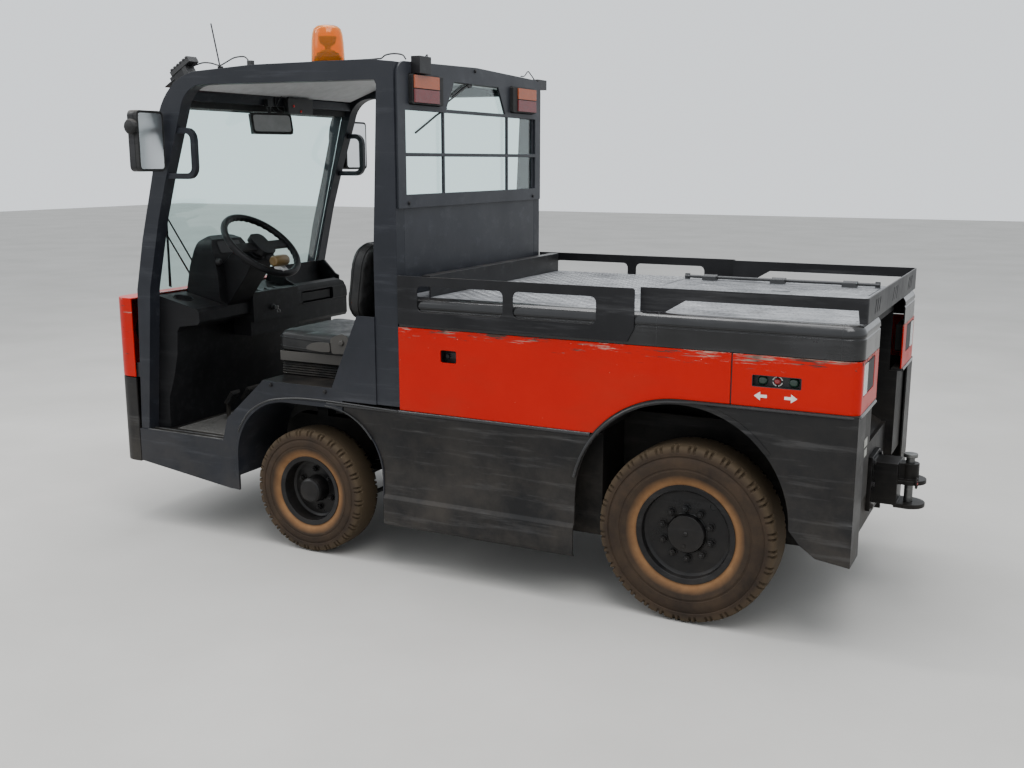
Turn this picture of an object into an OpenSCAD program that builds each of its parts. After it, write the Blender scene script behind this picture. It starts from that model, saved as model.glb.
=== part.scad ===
// Electric tow tractor for luggage trains: open two-door cab in front, flat cargo deck behind.
// Frame: +X forward, +Y left, +Z up, the floor at z = 0, millimetres.
// Every length along X below is counted from the rear axle, and placed() moves the whole
// machine so that the origin lies under the middle of its length.

/* [Wheels and axles] */
// Distance between the axles
wheelbase = 1670; // [1500:10:1900]
// Radius of a rear tyre over its tread
rear_tyre_r = 332; // [310:1:345]
// Radius of a front tyre over its tread
front_tyre_r = 268; // [250:1:280]
// Width of a rear tyre
rear_tyre_w = 180; // [150:1:190]
// Width of a front tyre
front_tyre_w = 150; // [120:1:160]
// Radius of a rear rim over its flange
rear_rim_r = 186; // [150:1:200]
// Radius of a front rim over its flange
front_rim_r = 151; // [130:1:165]
// How far the outer side of each tyre lies inside the red panels
tyre_inset = 15; // [9:1:33]
// Distance from the outer side of each front tyre to its kingpin
kingpin_inset = 176; // [168:1:188]
// Radius of a kingpin
kingpin_r = 14; // [10:1:18]
// Length of a steering arm, kingpin to tie rod pin
steer_arm = 130; // [110:1:150]
// Radius of a tie rod pin
rod_pin_r = 8; // [6:1:10]
// Depth of the front beam axle, top to bottom
beam_h = 60; // [50:1:70]
// Radius of a rear wheel's stub shaft
rear_stub_r = 45; // [35:1:50]
// Radius of a front wheel's stub shaft
front_stub_r = 22; // [18:1:28]
// Number of shoulder lugs round a tyre
tyre_lugs = 20; // [12:1:20]
// Depth of the grooves between the lugs
lug_depth = 14; // [8:1:20]

/* [Body] */
// Width over the red side panels
body_w = 1286; // [1240:2:1340]
// How far the skirts and mudguards stand out past the red panels
skirt_out = 5; // [2:1:8]
// Thickness of the skirts and mudguards
skirt_t = 8; // [6:1:12]
// Thickness of the red panels
panel_t = 6; // [4:1:8]
// Front axle to the foremost point of the nose
front_overhang = 1075; // [1000:5:1150]
// Rear axle to the rear faces of the body
rear_overhang = 585; // [560:5:640]
// Rear face of the cab, forward of the rear axle
cab_rear_x = 1185; // [1150:5:1215]
// Seam between the long red panel and the red corner panel, behind the rear axle
corner_seam = 155; // [130:1:200]
// Height of the lower edge of the long red panel
panel_z = 680; // [660:1:700]
// Height of the lip on which the red corner panels stand
lip_z = 836; // [820:1:850]
// Height of the upper edge of the red panels
belt_z = 1014; // [1000:1:1030]
// Height of the deck
deck_z = 1133; // [1120:1:1150]
// Lowest edge of the skirts
skirt_z = 187; // [170:1:230]
// Radius of the rear wheel arches
rear_arch_r = 400; // [385:1:420]
// Radius of the rounded ends of the front wheel arches
front_arch_r = 270; // [255:1:285]
// Height of the front arches' end centres
front_arch_z = 385; // [370:1:395]
// Width of the raised lip round each wheel arch
arch_lip = 17; // [10:1:22]
// Gap left between neighbouring panels
seam = 5; // [3:1:8]

/* [Deck] */
// Thickness of the deck plates
deck_t = 6; // [4:1:8]
// Width of the moulded shoulder between deck and side
shoulder_w = 43; // [38:1:50]
// Radius of the shoulder's rounded edge
shoulder_r = 36; // [25:1:37]
// Wall of the moulded shoulder covers
shoulder_t = 5; // [4:1:6]
// Height of the rails above the deck
rail_h = 84; // [70:1:110]
// Thickness of the rail plates
rail_t = 6; // [5:1:10]
// Height of the top bar of the rear rail
rail_bar = 40; // [30:1:50]
// How far the rear rail stands inside the edge of the deck
rear_rail_inset = 2; // [1:1:15]
// Where the front rails end and the rear rail begins, forward of the rear axle
rail_split_x = 199; // [180:1:230]
// Length of the lifting hatch in the rear deck
hatch_l = 844; // [760:4:880]
// Width of the lifting hatch in the rear deck
hatch_w = 286; // [240:2:320]
// Radius of the hatch's hinge rod
hinge_r = 7; // [5:1:9]

/* [Cab] */
// Height of the roof
roof_z = 2030; // [1950:5:2080]
// Width of the cab's side frames, seen from the front
frame_w = 60; // [45:1:70]
// Width of the B pillars, seen from the side
b_pillar = 108; // [90:1:120]
// Height of the cab floor
floor_z = 450; // [440:1:470]
// Height of the platform under the seat
platform_z = 738; // [700:1:760]
// Thickness of the floor plates
floor_t = 6; // [4:1:8]
// Thickness of the glass
glass_t = 6; // [5:1:8]
// Height of the rear window's sill
window_sill_z = 1525; // [1490:1:1550]
// Margin between the side frames and the rear window
window_margin = 23; // [13:1:80]
// Width of the bars in front of the rear window
guard_bar = 14; // [10:1:22]
// Distance from the middle plane to the driver's place
driver_y = 280; // [200:5:300]
// Radius of the steering wheel
wheel_r = 200; // [170:1:215]
// Angle by which the steering column leans back
column_tilt = 41; // [30:1:55]
// Height of the seat cushion's top
seat_z = 925; // [880:5:930]
// Width of the seat
seat_w = 480; // [420:5:500]

/* [Coupling] */
// Radius of the hitch pin
hitch_pin_r = 16; // [12:1:20]
// Travel of the hitch pin
hitch_travel = 95; // [80:1:110]
// Width of the coupling's body
hitch_w = 130; // [110:2:160]
// Height of the coupling's mouth above the floor
hitch_z = 440; // [420:1:470]

/* [Fits] */
// Gap between a piece and its seat
fit = 0.3; // [0.2:0.05:0.5]
// Radial running clearance of a shaft
run = 0.05; // [0.03:0.01:0.08]

/* [Hidden] */
$fn = 48;

// Colours of the finishes
grey = [0.16, 0.17, 0.18];
black = [0.05, 0.05, 0.055];
red = [0.80, 0.10, 0.04];
steel = [0.35, 0.35, 0.36];
rubber = [0.22, 0.18, 0.15];

// Places along X, from the rear axle
front_axle_x = wheelbase;
nose_x = wheelbase + front_overhang;
hitch_reach = 140;
rear_x = -rear_overhang;
machine_mid_x = (nose_x + rear_x - hitch_reach) / 2;

// Half widths
side_y = body_w / 2;
panel_in_y = side_y - panel_t;
skirt_y = side_y + skirt_out;
skirt_in_y = skirt_y - skirt_t;
frame_in_y = side_y - frame_w;
deck_y = side_y - shoulder_w;
rear_rail_y = deck_y - rear_rail_inset;
window_half = frame_in_y - window_margin;
tyre_out_y = side_y - tyre_inset;
kingpin_y = tyre_out_y - kingpin_inset;

// A list of points on an arc: centre, radius, first and last angle, number of steps
function arc(c, r, a0, a1, n = 12) =
    [for (i = [0 : n]) let (a = a0 + (a1 - a0) * i / n) [c[0] + r * cos(a), c[1] + r * sin(a)]];

// Moves a piece from axle coordinates to the machine's own frame
module placed() translate([-machine_mid_x, 0, 0]) children();

// A piece on the left with its mirror image on the right
module both_sides() {
    children();
    mirror([0, 1, 0]) children();
}

// A plate drawn in side view, its outer face at y_out and t thick towards the middle
module side_plate(y_out, t)
    translate([0, y_out, 0]) rotate([90, 0, 0]) linear_extrude(t) children();

// A plate drawn as seen from behind, with x_rear its rear face and t its thickness forward
module cross_plate(x_rear, t)
    translate([x_rear, 0, 0]) rotate([90, 0, 90]) linear_extrude(t) children();

// A box from its lowest to its highest corner
module block(low, high)
    translate(low) cube([high[0] - low[0], high[1] - low[1], high[2] - low[2]]);

// A round bar along Y from y0 to y1 at x, z
module bar_y(x, z, y0, y1, r)
    translate([x, y1, z]) rotate([90, 0, 0]) cylinder(r = r, h = y1 - y0);

// A rectangle with rounded corners, from its lowest corner
module rounded(low, size, r)
    translate([low[0] + r, low[1] + r]) offset(r = r, $fn = 16)
        square([size[0] - 2 * r, size[1] - 2 * r]);

// Running gear sizes
hub_gap = 1;
rim_t = 8;
flange_t = 6;
bead = 12;
rear_hub_l = 165;
front_hub_l = 118;
rear_disc_s = 42;
front_disc_s = 78;
cap_s = 22;
cap_t = 8;
ear_t = 18;
knuckle_half_w = 24;
boss_r = kingpin_r + 14;
web_t = 16;
knuckle_web_y = kingpin_y + boss_r + hub_gap;
front_z = front_tyre_r;
rear_z = rear_tyre_r;
rod_z = front_z - beam_h / 2 - ear_t - 22;
spring_y = 270;
spring_w = 56;
spring_t = 28;
axle_tube_r = 70;
lamp_r = 72;
lamp_y = 430;
head_lamp_z = 880;

// Frame sizes
wall_t = 10;
rail_box = 60;
tray_half = side_y - 113;
tray_back_x = rear_tyre_r + 23;
tray_front_x = min(cab_rear_x, front_axle_x - 485) - seam;
tray_low_z = 250;
front_rail_z = 352;
mid_rail_z = 520;
bay_half = 300;
bay_x = -340;
hitch_plate_x = rear_x + 45;
outrigger_t = 8;
bracket_z = 560;

// Body places
b_front_x = cab_rear_x + b_pillar;
a_foot_x = nose_x - 150;
floor_back_x = front_axle_x + 404;
platform_front_x = front_axle_x + 210;
fender_back_x = front_axle_x - 210;
arch_mid = [[front_axle_x - 125, front_arch_z], [front_axle_x + 82, front_arch_z]];
glass_foot = [a_foot_x - 85, 1070];
glass_head = [a_foot_x - 307, 1897];
rear_arch_x = 25;
rear_arch_z = lip_z - 1 - arch_lip - rear_arch_r;
skirt_top_z = panel_z - seam;
nose_corner_r = 80;
band_z = 690;
band_top_z = 1049;
nose_low_z = 294;
sill_low_z = 235;
firewall_x = a_foot_x - 29;

// The rear wheel arch in side view, grown by g; the rear skirt's flared foot is its rear end
module rear_arch(g = 0)
    polygon(concat([[rear_arch_x + rear_arch_r + g, -10]],
        arc([rear_arch_x, rear_arch_z], rear_arch_r + g, 0, 180, 36),
        [[-416, 369], [-469, 331], [rear_x - 20, 312], [rear_x - 20, -10]]));

// The front wheel arch in side view, grown by g
module front_arch(g = 0)
    polygon(concat([[arch_mid[1][0] + front_arch_r + g, -10]],
        arc(arch_mid[1], front_arch_r + g, 0, 90),
        arc(arch_mid[0], front_arch_r + g, 90, 180),
        [[arch_mid[0][0] - front_arch_r - g, -10]]));

// Welded frame: battery tray, front rails, rear bay walls, hitch plate and outriggers
module chassis_frame() color(black) placed() {
    difference() {
        union() {
            block([tray_back_x, -tray_half, tray_low_z],
                [tray_front_x, tray_half, deck_z - deck_t]);
            both_sides() {
                // Front rail, stepped up from the floor to the platform
                side_plate(spring_y + rail_box / 2, rail_box) polygon([
                    [tray_front_x - wall_t, front_rail_z], [a_foot_x - 20, front_rail_z],
                    [a_foot_x - 20, floor_z - floor_t], [floor_back_x - 6, floor_z - floor_t],
                    [front_axle_x + 280, mid_rail_z], [tray_front_x - wall_t, mid_rail_z]]);
                for (x = [tray_front_x + 20, front_axle_x - 110, front_axle_x + 120])
                    block([x, spring_y - rail_box / 2, mid_rail_z - 1],
                        [x + rail_box, spring_y + rail_box / 2, platform_z - floor_t]);
                // Side wall of the rear bay
                block([hitch_plate_x, bay_half, tray_low_z],
                    [tray_back_x + wall_t, bay_half + wall_t, 700]);
                block([hitch_plate_x, bay_half, 690],
                    [bay_x + wall_t, bay_half + wall_t, deck_z - deck_t]);
                // Outriggers under the skirts and behind the red panels
                for (x = [rear_arch_x + rear_arch_r + 35, (tray_back_x + tray_front_x) / 2,
                        tray_front_x - 40]) {
                    block([x, tray_half - 1, bracket_z],
                        [x + outrigger_t, skirt_in_y - 20, skirt_top_z - skirt_t]);
                    block([x, tray_half - 1, panel_z + 20],
                        [x + outrigger_t, panel_in_y, 930]);
                }
                block([rear_x + 14, bay_half + wall_t - 1, 480],
                    [rear_x + 14 + outrigger_t, skirt_in_y - 140, lip_z - skirt_t]);
                block([rear_x + 14, bay_half, 480],
                    [hitch_plate_x + 1, bay_half + wall_t, lip_z - skirt_t]);
            }
            // Front cross member under the A pillars, and the bumper bar that carries the nose
            block([a_foot_x - 80, -skirt_in_y, front_rail_z],
                [a_foot_x - 20, skirt_in_y, floor_z - floor_t]);
            both_sides() block([a_foot_x - 21, spring_y - rail_box / 2, front_rail_z],
                [a_foot_x + 6, spring_y + rail_box / 2, floor_z - floor_t]);
            block([a_foot_x + 5, -skirt_in_y, front_rail_z],
                [a_foot_x + 45, skirt_in_y, floor_z - floor_t]);
            // Hitch plate and the wall in front of the rear bay
            block([hitch_plate_x, -bay_half - 1, 300], [hitch_plate_x + 14, bay_half + 1, 620]);
            block([bay_x, -bay_half - 1, 610],
                [bay_x + wall_t, bay_half + 1, deck_z - deck_t]);
            // Sloping cover over the coupling's back end
            side_plate(bay_half + 1, 2 * bay_half + 2) polygon([
                [hitch_plate_x, 600], [hitch_plate_x, 610], [bay_x + 1, 730], [bay_x + 1, 718]]);
            // Cross wall under the rear rail
            block([rear_x + shoulder_w + 1, -bay_half - wall_t, deck_z - 60],
                [rear_x + shoulder_w + 9, bay_half + wall_t, deck_z - deck_t]);
            // Motor shelf
            block([30, -bay_half - 1, 430], [tray_back_x + 1, bay_half + 1, 440]);
        }
        // The inside of the battery tray
        block([tray_back_x + wall_t, -tray_half + wall_t, tray_low_z + wall_t],
            [tray_front_x - wall_t, tray_half - wall_t, deck_z]);
        // Seats of the rear axle in the bay walls
        bar_y(0, rear_z, -tray_half, tray_half, axle_tube_r + fit);
    }
}

// Beam axle with its kingpins and leaf springs
module front_axle() color(black) placed() translate([front_axle_x, 0, front_z]) {
    block([-28, -kingpin_y, -beam_h / 2], [28, kingpin_y, beam_h / 2]);
    both_sides() {
        translate([0, kingpin_y, -beam_h / 2]) cylinder(r = boss_r, h = beam_h);
        translate([0, kingpin_y, -beam_h / 2 - ear_t - 6])
            cylinder(r = kingpin_r, h = beam_h + 2 * ear_t + 12);
        // Leaf spring, its ends under the frame rails
        side_plate(spring_y + spring_w / 2, spring_w) polygon([
            [-400, front_rail_z - front_z - fit], [-300, front_rail_z - front_z - fit],
            [-90, beam_h / 2 + spring_t], [90, beam_h / 2 + spring_t],
            [300, front_rail_z - front_z - fit], [400, front_rail_z - front_z - fit],
            [400, front_rail_z - front_z - spring_t], [300, front_rail_z - front_z - spring_t],
            [90, beam_h / 2 - 1], [-90, beam_h / 2 - 1],
            [-300, front_rail_z - front_z - spring_t],
            [-400, front_rail_z - front_z - spring_t]]);
    }
}

// Where the inner end of a hub lies
rear_hub_y = tyre_out_y - rear_hub_l;
front_hub_y = tyre_out_y - front_hub_l;

// Drive axle: tube, gear housing and the stub shafts of the rear wheels
module rear_axle() color(black) placed() translate([0, 0, rear_z]) {
    bar_y(0, 0, -rear_hub_y + 40, rear_hub_y - 40, axle_tube_r);
    rotate([90, 0, 0]) rotate_extrude()
        polygon([[0, -120], [80, -120], [95, -70], [95, 70], [80, 120], [0, 120]]);
    block([60, -90, -90], [200, 90, 90]);
    both_sides() {
        bar_y(0, 0, rear_hub_y - 45, rear_hub_y - hub_gap, 105);
        bar_y(0, 0, rear_hub_y - 50, tyre_out_y - cap_s - cap_t - hub_gap, rear_stub_r);
    }
}

// The drive motors, one closed mass
module drive_motors() color(steel) placed()
    block([60, -200, 440], [tray_back_x - 10, 200, 760]);

// The traction battery in its tray
module battery() color(steel) placed()
    block([tray_back_x + wall_t + 40, 16 - tray_half, tray_low_z + wall_t],
        [tray_front_x - wall_t - 54, tray_half - 16, tray_low_z + wall_t + 784]);

// Floor, sloping riser, platform and firewall of the cab
module cab_floor() color(black) placed() {
    side_plate(skirt_in_y, 2 * skirt_in_y) polygon([
        [b_front_x + fit, platform_z - floor_t], [platform_front_x - 4, platform_z - floor_t],
        [floor_back_x - 4, floor_z - floor_t], [a_foot_x, floor_z - floor_t],
        [a_foot_x, floor_z], [floor_back_x, floor_z], [platform_front_x, platform_z],
        [b_front_x + fit, platform_z]]);
    block([cab_rear_x, -frame_in_y + fit, platform_z - floor_t],
        [b_front_x + 1, frame_in_y - fit, platform_z]);
    block([firewall_x, -frame_in_y + fit, floor_z - 1],
        [firewall_x + floor_t, frame_in_y - fit, band_top_z - panel_t]);
    // Brake and accelerator pedals on their stalks
    for (p = [[driver_y - 70, 90], [driver_y + 60, 60]])
        translate([a_foot_x - 265, p[0], floor_z]) {
            block([0, -8, -1], [14, 8, 95]);
            translate([2, 0, 90]) rotate([0, -35, 0]) block([-8, -p[1] / 2, 0], [4, p[1] / 2, 70]);
        }
}

// Plan of the nose from the right rear end round the bowed front, moved in by o
nose_bow = 25;
nose_half = skirt_y - nose_corner_r;
nose_bow_r = (nose_half * nose_half + nose_bow * nose_bow) / (2 * nose_bow);
nose_bow_a = asin(nose_half / nose_bow_r);
function nose_plan(o) = concat([[a_foot_x + seam, -skirt_y + o]],
    arc([nose_x - nose_bow - nose_corner_r, -nose_half], nose_corner_r - o, -90, 0),
    arc([nose_x - nose_bow_r, 0], nose_bow_r - o, -nose_bow_a, nose_bow_a, 10),
    arc([nose_x - nose_bow - nose_corner_r, nose_half], nose_corner_r - o, 0, 90),
    [[a_foot_x + seam, skirt_y - o]]);

// A band of the nose between two heights, t thick and open to the rear
module nose_ring(low, high, t) translate([0, 0, low]) linear_extrude(high - low)
    polygon(concat(nose_plan(0), [for (i = [len(nose_plan(t)) - 1 : -1 : 0]) nose_plan(t)[i]]));

// Grey lower part of the nose
module nose_panel() color(grey) placed() {
    nose_ring(nose_low_z, band_z - seam, skirt_t);
    // Ledges on the bumper bar
    both_sides() block([a_foot_x + seam, skirt_in_y - 60, floor_z - floor_t],
        [a_foot_x + 45, skirt_in_y + 1, floor_z]);
    for (s = [-1, 1]) block([a_foot_x + 10, s * 400 - 20, floor_z - floor_t],
        [nose_x - 16, s * 400 + 20, floor_z]);
}

// Red band across the nose, its top turned back to the windshield
module nose_band() color(red) placed() {
    difference() {
        nose_ring(band_z, band_top_z, panel_t);
        for (s = [-1, 1]) translate([nose_x - 200, s * lamp_y, head_lamp_z])
            rotate([0, 90, 0]) cylinder(r = lamp_r + 4, h = 260);
    }
    translate([0, 0, band_top_z - panel_t]) linear_extrude(panel_t) polygon(nose_plan(0));
    side_plate(frame_in_y - fit, 2 * (frame_in_y - fit)) polygon([
        glass_foot + [8, -4], glass_foot + [8, 2], [glass_foot[0] + 56, band_top_z],
        [a_foot_x + seam + 1, band_top_z], [a_foot_x + seam + 1, band_top_z - panel_t],
        [glass_foot[0] + 56, band_top_z - panel_t]]);
}

liner_t = 5;
liner_in_y = bay_half + wall_t + 2;

// Cab side in front of the B pillar, the sill, the front wheel arch and its liner
module front_fenders() color(grey) placed() both_sides() {
    difference() {
        side_plate(skirt_y, skirt_t) polygon([
            [b_front_x + fit, panel_z + 10], [b_front_x + fit, 1046], [b_front_x + 85, 1046],
            [b_front_x + 219, platform_z], [platform_front_x - 10, platform_z],
            [floor_back_x, 554], [floor_back_x + 31, floor_z], [a_foot_x, floor_z],
            [a_foot_x, 300], [floor_back_x, sill_low_z], [fender_back_x, sill_low_z],
            [fender_back_x, panel_z + 10]]);
        side_plate(skirt_y + 20, 60) front_arch();
    }
    // Liner over the wheel
    difference() {
        side_plate(skirt_in_y + 1, skirt_in_y - liner_in_y) intersection() {
            front_arch(liner_t);
            translate([0, 300]) square([2 * front_axle_x, 500]);
        }
        side_plate(skirt_y + 20, 500) front_arch();
    }
    // Raised lip round the arch
    difference() {
        side_plate(skirt_y + 3, 11) intersection() {
            front_arch(arch_lip);
            translate([fender_back_x, sill_low_z]) square([700, 500]);
        }
        side_plate(skirt_y + 20, 60) front_arch();
    }
}

// Section of the skirt between the wheels, y outward and z up, moved in by o
function skirt_section(o) = [
    [skirt_in_y - 70, skirt_top_z - o], [skirt_y - 14 - o / 2, skirt_top_z - o],
    [skirt_y - 4 - o, skirt_top_z - 5 - o / 2], [skirt_y - o, skirt_top_z - 16],
    [skirt_y - 10 - o, 560], [skirt_y - 15 - o, 430], [skirt_y - 10 - o, 318 - o / 2],
    [skirt_y + 2 - o, 303 - o / 2], [skirt_y + 2 - o, skirt_z + 14],
    [skirt_y - 10 - o, skirt_z]];

// Concave skirts between the wheels, stepped out along the foot
module mid_skirts() color(grey) placed() both_sides() difference() {
    translate([rear_arch_x + 300, 0, 0]) rotate([90, 0, 90])
        linear_extrude(fender_back_x - seam - rear_arch_x - 300)
            polygon(concat(skirt_section(0), [for (i = [9 : -1 : 0]) skirt_section(skirt_t)[i]]));
    side_plate(skirt_y + 20, 120) rear_arch(0);
    side_plate(skirt_y + 20, 120) front_arch(liner_t + fit);
}

// Rear mudguards with the skirt behind the wheel
module rear_fenders() color(grey) placed() both_sides() {
    difference() {
        union() {
            side_plate(skirt_y, skirt_t) polygon(concat(
                arc([rear_arch_x, rear_arch_z], rear_arch_r + arch_lip, 39, 90),
                [[rear_x, lip_z], [rear_x, 300], [rear_arch_x + 100, 300],
                [rear_arch_x + 290, skirt_top_z + 2]]));
            side_plate(skirt_y + 3, 11) intersection() {
                difference() {
                    rear_arch(arch_lip);
                    rear_arch(0);
                }
                translate([-300, skirt_top_z]) square([700, 300]);
            }
            // Liner over the wheel
            side_plate(skirt_in_y + 1, skirt_in_y - liner_in_y) polygon(concat(
                arc([rear_arch_x, rear_arch_z], rear_arch_r + liner_t, 41, 152, 24),
                arc([rear_arch_x, rear_arch_z], rear_arch_r - 1, 152, 41, 24)));
            // Rear edge turned in, and the ledge under the lamp box
            block([rear_x, skirt_in_y - 140, 315], [rear_x + 6, skirt_in_y + 1, lip_z - 6]);
            block([rear_x, bay_half + wall_t, lip_z - skirt_t],
                [rear_x + 40, skirt_in_y + 1, lip_z]);
        }
        side_plate(skirt_y + 20, 500) rear_arch(0);
    }
}

// Long red side panels with the latch opening and a top edge turned in
module side_panels() color(red) placed() both_sides() {
    difference() {
        side_plate(side_y, panel_t) polygon(concat(
            [[cab_rear_x - fit, panel_z], [cab_rear_x - fit, belt_z],
            [-corner_seam + seam / 2, belt_z], [-corner_seam + seam / 2, lip_z + 1]],
            arc([rear_arch_x, rear_arch_z], rear_arch_r + arch_lip + 1, 90, 38.5)));
        side_plate(side_y + 1, panel_t + 2) rounded([924, 887], [70, 49], 8);
    }
    block([tray_back_x, side_y - 40, belt_z - panel_t],
        [cab_rear_x - fit, panel_in_y + 1, belt_z]);
}

lamp_box = [side_y - 253, 205, 892, 112];
switch_box = [-393, 166, 906, 40];

// Plan of the lamp box's wall: side, rounded corner and rear face
function box_plan(o) = concat([[-corner_seam - seam / 2, side_y - o]],
    arc([rear_x + 32, side_y - 32], 32 - o, 90, 180), [[rear_x + o, bay_half + wall_t]]);

// Red lamp boxes at the rear corners, open for the lamps and the inching switches
module corner_panels() color(red) placed() both_sides() {
    difference() {
        translate([0, 0, lip_z]) linear_extrude(belt_z - lip_z)
            polygon(concat(box_plan(0), [for (i = [len(box_plan(0)) - 1 : -1 : 0])
                box_plan(panel_t)[i]]));
        cross_plate(rear_x - 10, 30) rounded([lamp_box[0], lamp_box[2]],
            [lamp_box[1], lamp_box[3]], 10);
        side_plate(side_y + 1, panel_t + 2) rounded([switch_box[0], switch_box[2]],
            [switch_box[1], switch_box[3]], 5);
    }
    // Pocket behind the switches
    difference() {
        block([switch_box[0] - 5, panel_in_y - 24, switch_box[2] - 5],
            [switch_box[0] + switch_box[1] + 5, panel_in_y + 1,
            switch_box[2] + switch_box[3] + 5]);
        side_plate(side_y + 1, panel_t + 21) rounded([switch_box[0], switch_box[2]],
            [switch_box[1], switch_box[3]], 5);
    }
}

// Section of the moulded shoulder from its outer foot to its inner edge; x is outward from the deck
groove_z = 1088;
module shoulder_section() polygon(concat(
    [[shoulder_w, belt_z + 2], [shoulder_w, groove_z - 4], [shoulder_w - 3, groove_z - 2],
    [shoulder_w - 3, groove_z + 2], [shoulder_w, groove_z + 4]],
    arc([shoulder_w - shoulder_r, deck_z - shoulder_r], shoulder_r, 0, 90),
    [[0, deck_z], [0, deck_z - shoulder_t]],
    arc([shoulder_w - shoulder_r, deck_z - shoulder_r], shoulder_r - shoulder_t, 90, 0),
    [[shoulder_w - shoulder_t, groove_z + 4], [shoulder_w - shoulder_t - 3, groove_z],
    [shoulder_w - shoulder_t, groove_z - 4], [shoulder_w - shoulder_t, belt_z + 2]]));

shoulder_turn = 17;

// Moulded shoulder along the side, round the rear corner and in to the rear bay
module shoulder_covers() color(black) placed() both_sides() {
    translate([cab_rear_x - seam, deck_y, 0]) rotate([90, 0, -90])
        mirror([1, 0, 0]) linear_extrude(cab_rear_x - seam - (rear_x + shoulder_w + shoulder_turn))
            shoulder_section();
    translate([rear_x + shoulder_w + shoulder_turn, deck_y - shoulder_turn, 0])
        rotate([0, 0, 90]) rotate_extrude(angle = 90) translate([shoulder_turn, 0])
            shoulder_section();
    translate([rear_x + shoulder_w, deck_y - shoulder_turn, 0]) rotate([90, 0, 0])
        linear_extrude(deck_y - shoulder_turn - bay_half - wall_t) mirror([1, 0, 0])
            shoulder_section();
}

// The hatch lies on the right half of the deck, its hinge along the outer edge
hatch_x = rear_x + 131;
hatch_y = 100 - deck_y;
hinge_y = hatch_y - 6;
hinge_z = deck_z + 14;
hinge_places = [90, hatch_l / 2 - 30, hatch_l - 150];
hinge_eye_l = 60;

// Outline of the deck with rounded rear corners
module deck_outline() polygon(concat([[cab_rear_x - seam, deck_y]],
    arc([rear_x + shoulder_w + shoulder_turn, deck_y - shoulder_turn], shoulder_turn, 90, 180),
    arc([rear_x + shoulder_w + shoulder_turn, shoulder_turn - deck_y], shoulder_turn, 180, 270),
    [[cab_rear_x - seam, -deck_y]]));

// Deck plate with the hatch opening, its stiffening ribs and the hinge rod
module deck_plate() color(grey) placed() {
    difference() {
        translate([0, 0, deck_z - deck_t]) linear_extrude(deck_t) difference() {
            deck_outline();
            translate([hatch_x - 4, hatch_y - 4]) square([hatch_l + 8, hatch_w + 8]);
        }
        // Joints between the plates of the deck
        for (x = [hatch_x + hatch_l + 10, kick_x - 7])
            block([x, -deck_y - 1, deck_z - 2], [x + 3, deck_y + 1, deck_z + 1]);
    }
    // Ribs along the hatch opening
    for (y = [hatch_y - 20, hatch_y + hatch_w + 12])
        block([bay_x + wall_t, y, deck_z - deck_t - 40],
            [tray_back_x, y + 8, deck_z - deck_t + 1]);
    // Hinge rod in its lugs
    translate([hatch_x, hinge_y, hinge_z]) rotate([0, 90, 0])
        cylinder(r = hinge_r, h = hatch_l);
    for (x = [0, hatch_l - 20])
        block([hatch_x + x, hinge_y - hinge_r - 5, deck_z - 1],
            [hatch_x + x + 20, hinge_y + 3, hinge_z + hinge_r + 5]);
}

// Lifting hatch with a finger notch and three hinge eyes
module deck_hatch() color(grey) placed() {
    difference() {
        translate([0, 0, deck_z - deck_t]) linear_extrude(deck_t) difference() {
            translate([hatch_x, hatch_y]) square([hatch_l, hatch_w]);
            translate([hatch_x + 0.41 * hatch_l - 40, hatch_y + hatch_w - 24])
                rounded([0, 0], [80, 60], 12);
        }
    }
    for (x = hinge_places) translate([hatch_x + x, 0, 0]) difference() {
        union() {
            translate([0, hinge_y, hinge_z]) rotate([0, 90, 0])
                cylinder(r = hinge_r + 5, h = hinge_eye_l);
            block([0, hinge_y, deck_z + 4], [hinge_eye_l, hinge_y + 12, hinge_z + 6]);
            block([0, hinge_y + 10, deck_z - 1], [hinge_eye_l, hinge_y + 40, hinge_z + 6]);
        }
        translate([-1, hinge_y, hinge_z]) rotate([0, 90, 0])
            cylinder(r = hinge_r + run, h = hinge_eye_l + 2);
    }
}

// Kick board, and the windows of the front rails: first x, length
kick_x = cab_rear_x - 125;
rail_windows = [[345, 333], [720, 373]];
rail_window_z = [1080, 100];

// Rails beside the front of the deck and the kick board along the cab
module deck_rails() color(black) placed() {
    both_sides() side_plate(side_y + rail_t, rail_t) difference() {
        polygon([[rail_split_x + 25, belt_z + 12], [rail_split_x, belt_z + 60],
            [rail_split_x, deck_z + rail_h - 6], [rail_split_x + 6, deck_z + rail_h],
            [cab_rear_x - 3, deck_z + rail_h], [cab_rear_x - 3, belt_z + 12]]);
        for (w = rail_windows)
            rounded([w[0], rail_window_z[0]], [w[1], rail_window_z[1]], 22);
    }
    // Kick board with its top edge turned to the cab
    block([kick_x, -deck_y, deck_z], [kick_x + rail_t, deck_y, deck_z + rail_h]);
    block([kick_x + rail_t - 1, -deck_y, deck_z + rail_h - rail_t],
        [kick_x + 40, deck_y, deck_z + rail_h]);
}

rail_turn = 22;
slot_groups = [-400, 0, 400];

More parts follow.
